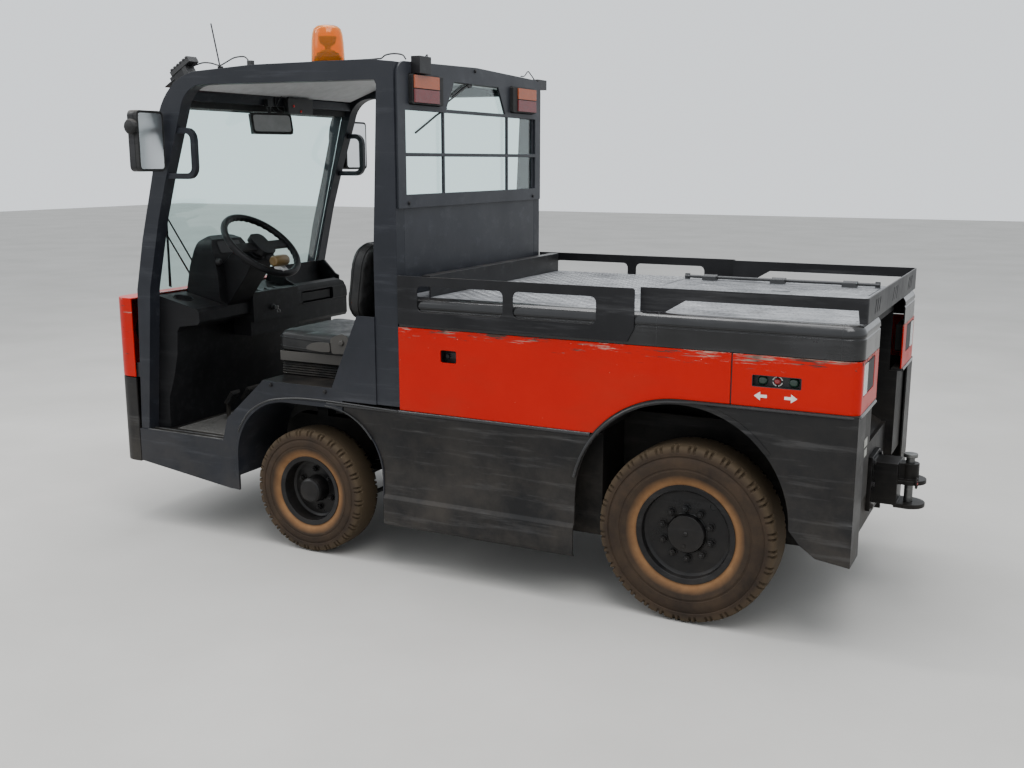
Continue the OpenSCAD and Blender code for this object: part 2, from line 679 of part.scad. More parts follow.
// Rail round the rear of the deck, long openings at the sides and slanted slots at the back
module rear_rail() color(black) placed() {
    rail_x = rear_x + 1;
    difference() {
        translate([0, 0, deck_z]) linear_extrude(rail_h) difference() {
            polygon(concat([[rail_split_x - 3, rear_rail_y]],
                arc([rail_x + rail_turn, rear_rail_y - rail_turn], rail_turn, 90, 180),
                arc([rail_x + rail_turn, rail_turn - rear_rail_y], rail_turn, 180, 270),
                [[rail_split_x - 3, -rear_rail_y]]));
            polygon(concat([[rail_split_x + 1, rear_rail_y - rail_t]],
                arc([rail_x + rail_turn, rear_rail_y - rail_turn], rail_turn - rail_t, 90, 180),
                arc([rail_x + rail_turn, rail_turn - rear_rail_y], rail_turn - rail_t, 180, 270),
                [[rail_split_x + 1, -rear_rail_y + rail_t]]));
        }
        // Long openings below the top bar
        side_plate(rear_rail_y + 10, 2 * rear_rail_y + 20) polygon([
            [105, deck_z - 1], [30, deck_z + rail_h - rail_bar],
            [rail_x + rail_turn + 8, deck_z + rail_h - rail_bar],
            [rail_x + rail_turn + 2, deck_z - 1]]);
        // Slanted slots
        for (g = slot_groups, i = [-1 : 1])
            translate([0, g + i * 42, deck_z + rail_h / 2]) rotate([30, 0, 0])
                cross_plate(rail_x - 5, 20) rounded([-7, -28], [14, 56], 6);
    }
}

// Outline of a cab side frame: A pillar, rounded roof corner, roof rail and B pillar
corner_c = [a_foot_x - 465, roof_z - 265];
corner_r = 255;
frame_top_z = roof_z + 4;
roof_bend_x = [b_front_x + 7, corner_c[0] - 270];
module frame_outline() polygon(concat(
    [[cab_rear_x, panel_z + 10], [cab_rear_x, roof_z - 8], [roof_bend_x[0], frame_top_z],
    [roof_bend_x[1], frame_top_z]],
    arc(corner_c, corner_r, 86, -2),
    [[a_foot_x - 161, 1575], [a_foot_x - 85, 1314], [a_foot_x - 34, 1090],
    [a_foot_x - 6, floor_z], [a_foot_x - 52, floor_z], [a_foot_x - 112, 1096],
    [a_foot_x - 188, 1404], [a_foot_x - 243, 1575]],
    arc([corner_c[0] - 8, roof_z - 195], 130, 12, 90),
    [[b_front_x - 20, roof_z - 72], [b_front_x - 30, roof_z - 90],
    [b_front_x, 1300], [b_front_x, panel_z + 10]]));

header_x = glass_head[0] - 53;
handle_x = a_foot_x - 396;
handle_z = [1590, 190];
handle_bend = 50;
handle_r = 12;
handle_inset = 9;

// Side frames with the headers and the grab handles on the A pillars
module cab_frame() color(grey) placed() {
    both_sides() side_plate(side_y, frame_w) frame_outline();
    // Header over the windshield and header over the rear window
    block([header_x, -frame_in_y - 1, 1905], [header_x + 55, frame_in_y + 1, 1945]);
    block([cab_rear_x + 7, -frame_in_y - 1, roof_z - 60],
        [cab_rear_x + 60, frame_in_y + 1, roof_z - 12]);
    // Grab handle
    both_sides() side_plate(side_y - handle_inset, 2 * handle_r) difference() {
        rounded([handle_x - handle_r, handle_z[0] - handle_r],
            [170, handle_z[1] + 2 * handle_r], handle_bend);
        rounded([handle_x + handle_r, handle_z[0] + handle_r],
            [170, handle_z[1] - 2 * handle_r], handle_bend - 2 * handle_r);
    }
    // Arms of the handle, let into the pillar
    both_sides() side_plate(side_y - handle_inset, 2 * handle_r)
        for (z = handle_z[0] * [1, 1] + [0, handle_z[1]])
            translate([handle_x + 60, z - handle_r]) square([115, 2 * handle_r]);
}

// Roof skin, bent down over the windshield's top edge
module roof_panel() color(grey) placed()
    side_plate(frame_in_y - fit, 2 * (frame_in_y - fit)) polygon(concat(
        [[cab_rear_x + 7, roof_z - 8], [roof_bend_x[0], roof_z + 2],
        [roof_bend_x[1], roof_z + 2]],
        arc(corner_c, corner_r - 2, 86, 26),
        arc(corner_c, corner_r - 7, 26, 86),
        [[roof_bend_x[1], roof_z - 3], [roof_bend_x[0], roof_z - 3],
        [cab_rear_x + 7, roof_z - 12]]));

// Wall at the back of the cab with the rear window's opening
module rear_wall() color(grey) placed()
    cross_plate(cab_rear_x, 6) difference() {
        translate([-frame_in_y + fit, platform_z + fit])
            square([2 * (frame_in_y - fit), roof_z - 12 - platform_z]);
        rounded([-window_half, window_sill_z - 12],
            [2 * window_half, roof_z - 48 - window_sill_z], 12);
    }

guard_top_z = roof_z + 12;
guard_low_z = 1473;
guard_rows = [1678, 1853];
guard_posts = [-window_half / 2 - 5, window_half / 2 + 5];
lamp_open = [window_half - 250, 240, 1868, 116];

// Guard of the rear window: crest with lamp openings, bars and lower rail
module window_guard() color(grey) placed()
    cross_plate(cab_rear_x - 10, 10) difference() {
        polygon(concat([[-side_y + 10, guard_low_z], [side_y - 10, guard_low_z]],
            arc([side_y - 70, guard_top_z - 75], 60, 0, 84, 6), [[0, guard_top_z]],
            arc([-side_y + 70, guard_top_z - 75], 60, 96, 180, 6)));
        // Panes between the bars
        for (y = [[-window_half - 15, guard_posts[0] - guard_bar / 2],
                [guard_posts[0] + guard_bar / 2, guard_posts[1] - guard_bar / 2],
                [guard_posts[1] + guard_bar / 2, window_half + 15]],
            z = [[window_sill_z, guard_rows[0] - guard_bar / 2],
                [guard_rows[0] + guard_bar / 2, guard_rows[1] - guard_bar / 2]])
            translate([y[0], z[0]]) square([y[1] - y[0], z[1] - z[0]]);
        // Opening over the middle pane
        polygon([[298 - window_half, guard_rows[1] + guard_bar / 2],
            [window_half - 298, guard_rows[1] + guard_bar / 2],
            [window_half - 364, guard_top_z - 70], [364 - window_half, guard_top_z - 70]]);
        for (s = [0, 1]) mirror([s, 0]) rounded([lamp_open[0], lamp_open[2]],
            [lamp_open[1], lamp_open[3]], 8);
    }

// Windshield and rear window
module glazing() color([0.55, 0.7, 0.72, 0.4]) placed() {
    side_plate(frame_in_y - fit, 2 * (frame_in_y - fit)) polygon([
        glass_head, glass_head + [glass_t, 2], glass_foot + [glass_t, 2], glass_foot]);
    block([cab_rear_x + 6, -window_half - 10, window_sill_z - 22],
        [cab_rear_x + 6 + glass_t, window_half + 10, roof_z - 62]);
}

column_top = [a_foot_x - 435, driver_y, 1262];

// Dashboard: width of the instrument pod, ends of the bin on the right, key panel
pod_w = 246;
bin_y = [-frame_in_y + fit, -165];
bin_t = 12;
key_panel_y = [-139, driver_y - 80];
drawer_y = bin_y[0] + 125;
drawer_l = 262;

// Instrument pod in side view, and the bin in side view with its falling top edge
module pod_side() polygon([
    [a_foot_x - 95, 1040], [a_foot_x - 128, 1180], [a_foot_x - 172, 1290],
    [a_foot_x - 208, 1318], [a_foot_x - 245, 1302], [a_foot_x - 275, 1235],
    [a_foot_x - 292, 1140], [a_foot_x - 300, 1000]]);
module bin_side() polygon(concat([[a_foot_x - 95, 1040], [a_foot_x - 118, 1128]],
    arc([a_foot_x - 158, 1108], 26, 60, 110),
    [[a_foot_x - 233, 1066], [a_foot_x - 275, 1048], [a_foot_x - 291, 1040],
    [a_foot_x - 298, 1026], [a_foot_x - 298, 862], [a_foot_x - 288, 847],
    [a_foot_x - 215, 838], [a_foot_x - 170, 838]]));

// Dashboard across the cab, its instrument pod, the open bin and the recess over the feet
module dashboard() color(black) placed() {
    difference() {
        union() {
            side_plate(frame_in_y - fit, 2 * (frame_in_y - fit)) polygon([
                [firewall_x, floor_z], [firewall_x, 1034], [a_foot_x - 90, 1062],
                [a_foot_x - 292, 1018], [a_foot_x - 300, 1008], [a_foot_x - 302, 950],
                [a_foot_x - 290, 938], [a_foot_x - 215, 926], [a_foot_x - 200, 905],
                [a_foot_x - 192, 800], [a_foot_x - 165, 690], [a_foot_x - 128, 590],
                [a_foot_x - 125, floor_z]]);
            // Left shoulder, standing out beside the pod
            side_plate(frame_in_y - fit, frame_in_y - fit - driver_y - pod_w / 2 + 20) polygon([
                [a_foot_x - 240, 1029], [a_foot_x - 318, 1012], [a_foot_x - 331, 1000],
                [a_foot_x - 333, 955], [a_foot_x - 322, 941], [a_foot_x - 240, 930]]);
            intersection() {
                side_plate(driver_y + pod_w / 2, pod_w) pod_side();
                cross_plate(a_foot_x - 400, 400) rounded([driver_y - pod_w / 2, 900],
                    [pod_w, 420], 70);
            }
            side_plate(bin_y[1], bin_y[1] - bin_y[0]) bin_side();
            // Panel with the key and the strip below it
            block([a_foot_x - 318, key_panel_y[0], 904], [a_foot_x - 240, key_panel_y[1], 1044]);
            block([a_foot_x - 298, bin_y[1] - 1, 838], [a_foot_x - 170, key_panel_y[1], 930]);
        }
        // Inside of the bin, and its front corner taken down at the door
        side_plate(bin_y[1] - bin_t, bin_y[1] - bin_y[0] - 2 * bin_t) polygon([
            [a_foot_x - 134, 1200], [a_foot_x - 130, 1080], [a_foot_x - 150, 1024],
            [a_foot_x - 270, 1024], [a_foot_x - 284, 1200]]);
        cross_plate(a_foot_x - 330, 75) polygon([
            [bin_y[0] + 70, 1080], [bin_y[0] + 70, 1048], [bin_y[0] + 25, 1030],
            [bin_y[0] + 8, 1002], [bin_y[0] - 1, 976], [bin_y[0] - 1, 1080]]);
        // Drawer recess
        cross_plate(a_foot_x - 330, 70) rounded([drawer_y, 948], [drawer_l, 60], 14);
        // Cup hole in the left shoulder
        translate([a_foot_x - 170, frame_in_y - 80, 990]) cylinder(r = 42, h = 100);
        // Passage of the steering column and its cowl
        at_column() translate([0, 0, -700]) cylinder(r = 38 + fit, h = 700);
        column_cowl(fit);
    }
    // Drawer
    block([a_foot_x - 290, drawer_y + 10, 956], [a_foot_x - 259, drawer_y + drawer_l - 10, 998]);
}

// Local frame of the steering column, its axis up towards the driver
module at_column() translate(column_top) rotate([0, -column_tilt, 0]) children();

// Cowl round the upper column in side view, widening towards the dashboard, grown by g
module column_cowl(g) at_column() rotate([90, 0, 0])
    translate([0, 0, -75 - g]) linear_extrude(150 + 2 * g) polygon([
        [-48 - g, -30], [48 + g, -30], [66 + g, -90], [88 + g, -318 - g],
        [-70 - g, -318 - g], [-62 - g, -90]]);

// Steering column with its shaft
module steering_column() color(black) placed() {
    at_column() {
        translate([0, 0, -390]) cylinder(r = 38, h = 370);
        translate([0, 0, -30]) cylinder(r = 9, h = 42);
        // Stalk
        rotate([0, 0, -70]) translate([0, 0, -60]) rotate([0, 80, 0]) cylinder(r = 6, h = 170);
    }
    column_cowl(0);
}

// Steering wheel with a padded hub and three broad spokes: turn of each
spoke_turns = [90, 180, 270];
module steering_wheel() color(black) placed() at_column() difference() {
    union() {
        rotate_extrude() translate([wheel_r - 15, 20]) circle(r = 15);
        translate([0, 0, -8]) cylinder(r = 45, h = 36);
        translate([-62, -48, 8]) linear_extrude(26) rounded([0, 0], [124, 96], 30);
        for (a = spoke_turns) rotate([0, 0, a])
            translate([0, -22, 8]) cube([wheel_r - 15, 44, 14]);
    }
    translate([0, 0, -10]) cylinder(r = 9 + run, h = 24);
}

seat_x = b_front_x + 162;
seat_t = 84;

// Seat base: slide, bellows and the pan under the cushion
module seat_base() color(black) placed() translate([0, driver_y, 0]) {
    block([seat_x + 10, -200, platform_z], [seat_x + 410, 200, platform_z + 24]);
    block([seat_x + 40, -170, platform_z + 23], [seat_x + 400, 170, seat_z - seat_t - 39]);
    block([seat_x + 20, 25 - seat_w / 2, seat_z - seat_t - 40],
        [seat_x + 430, seat_w / 2 - 25, seat_z - seat_t]);
}

// Seat cushion
module seat_cushion() color(black) placed()
    translate([seat_x, driver_y - seat_w / 2, seat_z - seat_t])
    rotate([90, 0, 90]) linear_extrude(460) rounded([0, 0], [seat_w, seat_t], 30);

// Round-cornered backrest, leaning back, on its strap
module seat_backrest() color(black) placed() {
    translate([seat_x + 5, driver_y - seat_w / 2, seat_z + 55]) rotate([0, -8, 0])
        rotate([90, 0, 90]) linear_extrude(88) rounded([0, 0], [seat_w, 350], 120);
    // Strap to the seat base
    block([seat_x - 42, driver_y - 80, seat_z - seat_t - 20],
        [seat_x - 2, driver_y + 80, seat_z + 200]);
    block([seat_x - 42, driver_y - 80, seat_z - seat_t - 20],
        [seat_x + 20, driver_y + 80, seat_z - seat_t - 4]);
}

// Lamps: pairs at the back of the roof, in the rear corners and in the nose, each with a
// flange behind its opening
module lamps() color("orangered") placed() {
    both_sides() {
        cross_plate(cab_rear_x - 26, 26) rounded([lamp_open[0] + 2, lamp_open[2] + 2],
            [lamp_open[1] - 4, lamp_open[3] - 4], 6);
        cross_plate(cab_rear_x, 5) rounded([lamp_open[0] - 8, lamp_open[2] - 8],
            [lamp_open[1] + 12, lamp_open[3] - 8], 6);
        cross_plate(rear_x + 3, 40) rounded([lamp_box[0] + 2, lamp_box[2] + 2],
            [lamp_box[1] - 4, lamp_box[3] - 4], 8);
        cross_plate(rear_x + panel_t, 6) rounded([lamp_box[0] - 8, lamp_box[2] - 8],
            [lamp_box[1] + 12, lamp_box[3] + 16], 8);
    }
    for (s = [-1, 1]) translate([0, s * lamp_y, head_lamp_z]) rotate([0, 90, 0]) {
        translate([0, 0, nose_x - 90]) cylinder(r = lamp_r, h = 68);
        translate([0, 0, nose_x - 38.8]) cylinder(r = lamp_r + 12, h = 12);
    }
}

// Mirrors on their arms outside the A pillars, and the one inside the windshield
mirror_size = [170, 250];
mirror_y = side_y + 17;
mirror_x = a_foot_x - 265;
inner_mirror = [90, 1822];
module mirrors() color(black) placed() {
    both_sides() {
        cross_plate(mirror_x, 32) rounded([mirror_y, 1610], mirror_size, 22);
        for (z = [1660, 1800]) bar_y(mirror_x + 38, z, side_y, mirror_y + 60, 8);
        translate([mirror_x + 38, mirror_y + 60, 1652]) cylinder(r = 8, h = 156);
    }
    translate([header_x - 20, inner_mirror[0], inner_mirror[1]]) {
        rotate([0, 12, -20]) block([-12, -105, -46], [12, 105, 46]);
        translate([7, 0, 10]) cylinder(r = 7, h = 80);
        block([-2, -20, 78], [20, 20, 110]);
    }
}

// Amber beacon on its foot
beacon_at = [b_front_x + 247, window_half];
module beacon() color("orange") placed() translate([beacon_at[0], beacon_at[1], frame_top_z]) {
    cylinder(r = 62, h = 18);
    translate([0, 0, 17]) rotate_extrude() polygon([[0, 0], [66, 0], [66, 88], [58, 112],
        [40, 124], [0, 128]]);
}

// Camera box at the front of the roof, two sensor boxes at its back corners and the aerial
module roof_gear() color(black) placed() {
    translate([corner_c[0], frame_in_y + 20, corner_c[1]]) rotate([0, 30, 0])
        block([-40, -26, corner_r + fit], [40, 26, corner_r + 34]);
    block([cab_rear_x - 50, window_half - 116, roof_z - 46],
        [cab_rear_x - 10, window_half - 30, roof_z + 19]);
    // Box standing out beyond the right side frame
    block([cab_rear_x + 8, -side_y - 96, roof_z - 40], [cab_rear_x + 68, -side_y, roof_z + 6]);
    translate([corner_c[0] - 40, window_half, roof_z - 8.7]) {
        cylinder(r = 12, h = 20);
        translate([0, 0, 8]) rotate([0, 12, 0]) cylinder(r = 3, h = 190);
    }
}

// Tow coupling: base plate, body, mouth plates and the bored pin guide
mouth = [hitch_z - 54, hitch_z + 22];
mouth_x = rear_x - 95;
module hitch_body() color(black) placed() difference() {
    union() {
        block([hitch_plate_x - 16, -90, hitch_z - 90], [hitch_plate_x, 90, hitch_z + 120]);
        block([rear_x - 60, -hitch_w / 2, hitch_z - 60],
            [hitch_plate_x - 15, hitch_w / 2, hitch_z + 100]);
        for (z = [mouth[0] - 16, mouth[1]])
            translate([mouth_x, 0, z]) cylinder(r = 62, h = 16);
        for (z = [mouth[0] - 16, mouth[1]])
            block([mouth_x, -60, z], [rear_x - 50, 60, z + 16]);
        translate([mouth_x, 0, mouth[1] + 15]) cylinder(r = 34, h = 60);
        block([mouth_x, -30, mouth[1] + 15], [rear_x - 50, 30, mouth[1] + 75]);
    }
    translate([mouth_x, 0, mouth[0] - 20]) cylinder(r = hitch_pin_r + run, h = 200);
}

// Hitch pin with its lifting knob
module hitch_pin() color(steel) placed() translate([mouth_x, 0, 0]) {
    translate([0, 0, mouth[0] - 16]) cylinder(r = hitch_pin_r, h = mouth[1] - mouth[0] + 115);
    translate([0, 0, mouth[1] + 96]) cylinder(r = 26, h = 14);
}

// Front knuckle about its kingpin: ears, web, stub shaft and steering arm
module knuckle() {
    difference() {
        union() {
            for (z = [beam_h / 2 + 1, -beam_h / 2 - 1 - ear_t]) {
                translate([0, 0, z]) cylinder(r = boss_r, h = ear_t);
                block([-knuckle_half_w, 0, z],
                    [knuckle_half_w, knuckle_web_y + web_t - kingpin_y, z + ear_t]);
            }
            block([-knuckle_half_w, knuckle_web_y - kingpin_y, -beam_h / 2 - 1 - ear_t],
                [knuckle_half_w, knuckle_web_y + web_t - kingpin_y, beam_h / 2 + 1 + ear_t]);
            bar_y(0, 0, knuckle_web_y - kingpin_y + 1, front_hub_y - hub_gap - kingpin_y, 40);
            bar_y(0, 0, knuckle_web_y - kingpin_y + 1,
                tyre_out_y - cap_s - cap_t - hub_gap - kingpin_y, front_stub_r);
            // Steering arm with the tie rod pin
            block([-steer_arm, -14, -beam_h / 2 - 1 - ear_t], [0, 14, -beam_h / 2 - 1]);
            translate([-steer_arm, 0, -beam_h / 2 - 1 - ear_t]) cylinder(r = 16, h = ear_t);
        }
        translate([0, 0, -100]) cylinder(r = kingpin_r + run, h = 200);
    }
    translate([-steer_arm, 0, rod_z - front_z - 14])
        cylinder(r = rod_pin_r, h = front_z - rod_z - beam_h / 2 - 1 + 14 - ear_t / 2);
}

module knuckle_left() color(steel) placed()
    translate([front_axle_x, kingpin_y, front_z]) knuckle();
module knuckle_right() color(steel) placed()
    mirror([0, 1, 0]) translate([front_axle_x, kingpin_y, front_z]) knuckle();

// Tie rod between the steering arms
module tie_rod() color(steel) placed() translate([front_axle_x - steer_arm, 0, rod_z])
    difference() {
        union() {
            bar_y(0, 0, -kingpin_y + 4, kingpin_y - 4, 10);
            both_sides() translate([0, kingpin_y, -12]) cylinder(r = rod_pin_r + 8, h = 24);
        }
        both_sides() translate([0, kingpin_y, -20]) cylinder(r = rod_pin_r + run, h = 40);
    }

// Rim about Y with its outer face towards +Y at y = 0: flanges, barrel, disc, hub and cap
module rim(flange_r, width, disc_s, hub_in_r, hub_out_r, hub_l) rotate([-90, 0, 0])
    rotate_extrude() {
        barrel = flange_r - bead;
        inner = barrel - rim_t;
        polygon([[hub_in_r, -hub_l], [hub_out_r, -hub_l], [hub_out_r, -disc_s - rim_t],
            [inner - 14, -disc_s - rim_t], [inner, -disc_s - rim_t - 12],
            [inner, -width + 14], [inner + 3, -width + 12], [flange_r, -width + 12],
            [flange_r, -width + 12 + flange_t], [barrel, -width + 12 + flange_t],
            [barrel, -12 - flange_t], [flange_r, -12 - flange_t], [flange_r, -12],
            [inner, -16], [inner - 4, -disc_s + 6], [inner - 14, -disc_s],
            [hub_out_r, -disc_s], [hub_out_r - 4, -cap_s], [0, -cap_s],
            [0, -cap_s - cap_t], [hub_in_r, -cap_s - cap_t]]);
    }

module front_rim(y) color(black) placed() translate([front_axle_x, y, front_z])
    rim(front_rim_r, front_tyre_w, front_disc_s, front_stub_r + run, 58, front_hub_l);
module rear_rim(y) color(black) placed() translate([0, y, rear_z])
    rim(rear_rim_r, rear_tyre_w, rear_disc_s, rear_stub_r + run, 72, rear_hub_l);
module front_rim_left() front_rim(tyre_out_y);
module front_rim_right() mirror([0, 1, 0]) front_rim(tyre_out_y);
module rear_rim_left() rear_rim(tyre_out_y);
module rear_rim_right() mirror([0, 1, 0]) rear_rim(tyre_out_y);

// Solid tyre about Y, outer side at y = 0, with grooves between its shoulder lugs.
// Each ring of points is one angle: tread, shoulder, sidewall, seat of the flange and bore.
module tyre(r, width, rim_r) {
    stations = 3 * tyre_lugs;
    bore = (rim_r - bead + fit) / cos(180 / stations);
    half = width / 2;
    flange_in = half - 12 - flange_t - fit;
    // Half profile from the tread's middle to the bore: radius, distance from the middle
    function side(cut) = [[r, 0.46 * half], [r - cut, 0.9 * half], [r - 18 - cut / 2, half],
        [rim_r + 2, half - 8], [rim_r + 2, flange_in], [bore, flange_in]];
    function ring(cut) = concat([for (p = side(cut)) [p[0], p[1] - half]],
        [for (i = [5 : -1 : 0]) [side(cut)[i][0], -side(cut)[i][1] - half]]);
    rings = [for (k = [0 : stations - 1]) ring(k % 3 == 2 ? lug_depth : 0)];
    n = len(rings[0]);
    points = [for (k = [0 : stations - 1], p = rings[k])
        let (a = -90 + 360 * k / stations) [p[0] * cos(a), p[1], p[0] * sin(a)]];
    faces = [for (k = [0 : stations - 1], j = [0 : n - 1])
        let (a = k * n + j, b = k * n + (j + 1) % n,
            c = ((k + 1) % stations) * n + (j + 1) % n, d = ((k + 1) % stations) * n + j)
        each [[a, b, c], [a, c, d]]];
    polyhedron(points, faces);
}

module front_tyre(y) color(rubber) placed() translate([front_axle_x, y, front_z])
    tyre(front_tyre_r, front_tyre_w, front_rim_r);
module rear_tyre(y) color(rubber) placed() translate([0, y, rear_z])
    tyre(rear_tyre_r, rear_tyre_w, rear_rim_r);
module front_tyre_left() front_tyre(tyre_out_y);
module front_tyre_right() mirror([0, 1, 0]) front_tyre(tyre_out_y);
module rear_tyre_left() rear_tyre(tyre_out_y);
module rear_tyre_right() mirror([0, 1, 0]) rear_tyre(tyre_out_y);

chassis_frame();
front_axle();
rear_axle();
drive_motors();
battery();
cab_floor();
nose_panel();
nose_band();
front_fenders();
mid_skirts();
rear_fenders();
side_panels();
corner_panels();
shoulder_covers();
deck_plate();
deck_hatch();
deck_rails();
rear_rail();
cab_frame();
roof_panel();
rear_wall();
window_guard();
glazing();
dashboard();
steering_column();
steering_wheel();
seat_base();
seat_cushion();
seat_backrest();
lamps();
mirrors();
beacon();
roof_gear();
hitch_body();
hitch_pin();
knuckle_left();
knuckle_right();
tie_rod();
front_rim_left();
front_rim_right();
rear_rim_left();
rear_rim_right();
front_tyre_left();
front_tyre_right();
rear_tyre_left();
rear_tyre_right();
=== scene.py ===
# %% [markdown]
# # An electric tow tractor, finished piece by piece
# The frame of the machine comes ready made: every panel, pillar, wheel and joint is a solid
# with its real size. This lesson gives each of them its finish, swaps the tyres, the seat
# covers and the beacon for finer ones, and adds what the frame leaves out: chequer pattern,
# nuts, lenses, wipers, seals and cables.

# %% Load the frame
import math

import bmesh
import bpy
from mathutils import Euler, Matrix, Vector
from mathutils.bvhtree import BVHTree


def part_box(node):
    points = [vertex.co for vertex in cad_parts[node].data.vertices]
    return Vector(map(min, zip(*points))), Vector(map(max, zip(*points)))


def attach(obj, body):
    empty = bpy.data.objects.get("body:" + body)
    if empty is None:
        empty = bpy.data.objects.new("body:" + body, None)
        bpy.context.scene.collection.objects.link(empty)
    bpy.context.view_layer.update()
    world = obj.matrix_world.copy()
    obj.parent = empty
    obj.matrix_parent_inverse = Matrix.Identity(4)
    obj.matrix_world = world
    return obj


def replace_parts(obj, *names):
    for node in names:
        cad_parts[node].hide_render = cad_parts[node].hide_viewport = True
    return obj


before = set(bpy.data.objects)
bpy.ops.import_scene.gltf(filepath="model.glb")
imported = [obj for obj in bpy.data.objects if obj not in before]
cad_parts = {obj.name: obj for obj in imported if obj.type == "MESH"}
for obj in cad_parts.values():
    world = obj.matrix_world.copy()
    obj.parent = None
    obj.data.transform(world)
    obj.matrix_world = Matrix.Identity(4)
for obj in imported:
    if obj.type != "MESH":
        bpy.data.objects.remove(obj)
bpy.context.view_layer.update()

# %% [markdown]
# ## Pieces past the frame
# Small pieces may stand out past the frame, such as a mirror's clamp.

# %% [markdown]
# ## Where things are
# The drawing of the machine counts millimetres forward from the rear axle, left from the
# middle plane and up from the floor. `at()` turns such a place into Blender's metres, so a
# number in this lesson can be checked against the drawing.

# %% From the drawing to Blender
low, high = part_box("rear_tyre_left")
rear_axle_x = (low.x + high.x) / 2


def at(x, y, z):
    return Vector((rear_axle_x + x / 1000, y / 1000, z / 1000))


print("rear axle at x =", round(rear_axle_x, 3))

# %% [markdown]
# ## Camera
# The photographer stood behind the left rear corner, a little above the deck, and used a
# normal lens. A camera that stands in the same place sees the same perspective. Its two
# helpers put any object in the scene and aim it; the lamps at the end use them as well.

# %% Camera
def linked(name, data):
    """Makes an object of a mesh, a camera or a lamp and puts it in the scene."""
    made = bpy.data.objects.new(name, data)
    bpy.context.scene.collection.objects.link(made)
    return made


def aimed(way):
    """The turn that points a camera or a lamp along a way."""
    return Vector(way).to_track_quat("-Z", "Y").to_euler()


optics = bpy.data.cameras.new("camera")
optics.lens = 38.82
optics.sensor_width = 36
camera = linked("camera", optics)
camera.location = (-2.1667, 4.2791, 1.6529)
camera.rotation_euler = aimed((0.4425, -0.8747, -0.1978))
bpy.context.scene.camera = camera
print("camera stands", round(camera.location.length, 2), "m from the middle of the machine")

# %% [markdown]
# ## Finishes
# Paint, rubber and vinyl are made of texture nodes: noise for mottling, cells for a grain, a
# band for a zone of the machine. Written out, each node takes four lines, so a small kit gives
# each a short word. Textures use object coordinates and stay on the metal when a wheel turns.

# %% Texture nodes in short words
class Nodes:
    def node(self, kind, **settings):
        made = self.tree.nodes.new("ShaderNode" + kind)
        for name, value in settings.items():
            setattr(made, name, value)
        return made

    def put(self, socket, value):
        if isinstance(value, bpy.types.NodeSocket):
            self.tree.links.new(value, socket)
        else:
            socket.default_value = value

    def stretched(self, stretch):
        if stretch == (1, 1, 1):
            return self.place
        mapping = self.node("Mapping")
        self.put(mapping.inputs["Vector"], self.place)
        mapping.inputs["Scale"].default_value = stretch
        return mapping.outputs[0]

    def noise(self, scale, stretch=(1, 1, 1), detail=4, rough=0.55):
        made = self.node("TexNoise")
        self.put(made.inputs["Vector"], self.stretched(stretch))
        made.inputs["Scale"].default_value = scale
        made.inputs["Detail"].default_value = detail
        made.inputs["Roughness"].default_value = rough
        return made.outputs["Fac"]

    def cells(self, scale):
        made = self.node("TexVoronoi")
        self.put(made.inputs["Vector"], self.place)
        made.inputs["Scale"].default_value = scale
        return made.outputs["Distance"]

    def axis(self, vector, letter):
        parts = self.node("SeparateXYZ")
        self.put(parts.inputs[0], vector)
        return parts.outputs["XYZ".index(letter)]

    def ramp(self, value, start, end, low=0.0, high=1.0):
        made = self.node("MapRange")
        self.put(made.inputs["Value"], value)
        for socket, number in zip(list(made.inputs)[1:5], (start, end, low, high)):
            socket.default_value = number
        return made.outputs["Result"]

    def sums(self, operation, a, b):
        made = self.node("Math", operation=operation)
        self.put(made.inputs[0], a)
        self.put(made.inputs[1], b)
        return made.outputs[0]

    def times(self, a, b):
        return self.sums("MULTIPLY", a, b)

    def most(self, a, b):
        return self.sums("MAXIMUM", a, b)


print("words for nodes:", ", ".join(word for word in vars(Nodes) if not word.startswith("_")))

# %% [markdown]
# ### One finish
# A finish is one Principled shader with those nodes in front of it. It could be painted as a
# picture instead, but nodes stay sharp at any distance and need no unwrapping. `height` and
# `facing_up` tell where on the machine a spot lies, because dust and wear follow places.

# %% A finish
class Finish(Nodes):
    def __init__(self, name, colour, roughness, **more):
        self.look = bpy.data.materials.new(name)
        self.look.use_nodes = True
        self.look.diffuse_color = (*colour, 1)
        self.tree = self.look.node_tree
        self.shader = self.tree.nodes["Principled BSDF"]
        self.shader.inputs["Base Color"].default_value = (*colour, 1)
        self.shader.inputs["Roughness"].default_value = roughness
        for socket, value in more.items():
            self.shader.inputs[socket.replace("_", " ")].default_value = value
        self.spot = self.node("TexCoord")
        self.place = self.spot.outputs["Object"]
        self.bumps = None

    def height(self, start, end):
        """Goes from 0 to 1 between two heights in metres; start may be the upper one."""
        return self.ramp(self.axis(self.place, "Z"), start, end)

    def facing_up(self):
        """0 where a face is steeper than 60 degrees, 1 where it lies nearly level."""
        return self.ramp(self.axis(self.spot.outputs["Normal"], "Z"), 0.5, 0.9)

    def blend(self, share, a, b):
        made = self.node("Mix", data_type="RGBA")
        self.put(made.inputs[0], share)
        for socket, value in ((made.inputs[6], a), (made.inputs[7], b)):
            self.put(socket, value if isinstance(value, bpy.types.NodeSocket) else (*value, 1))
        return made.outputs[2]

    def paint(self, colour):
        self.put(self.shader.inputs["Base Color"], colour)

    def gloss(self, roughness):
        self.put(self.shader.inputs["Roughness"], roughness)

    def relief(self, height, strength, distance):
        made = self.node("Bump")
        made.inputs["Strength"].default_value = strength
        made.inputs["Distance"].default_value = distance
        self.put(made.inputs["Height"], height)
        if self.bumps is not None:
            self.put(made.inputs["Normal"], self.bumps)
        self.bumps = made.outputs[0]
        self.put(self.shader.inputs["Normal"], self.bumps)


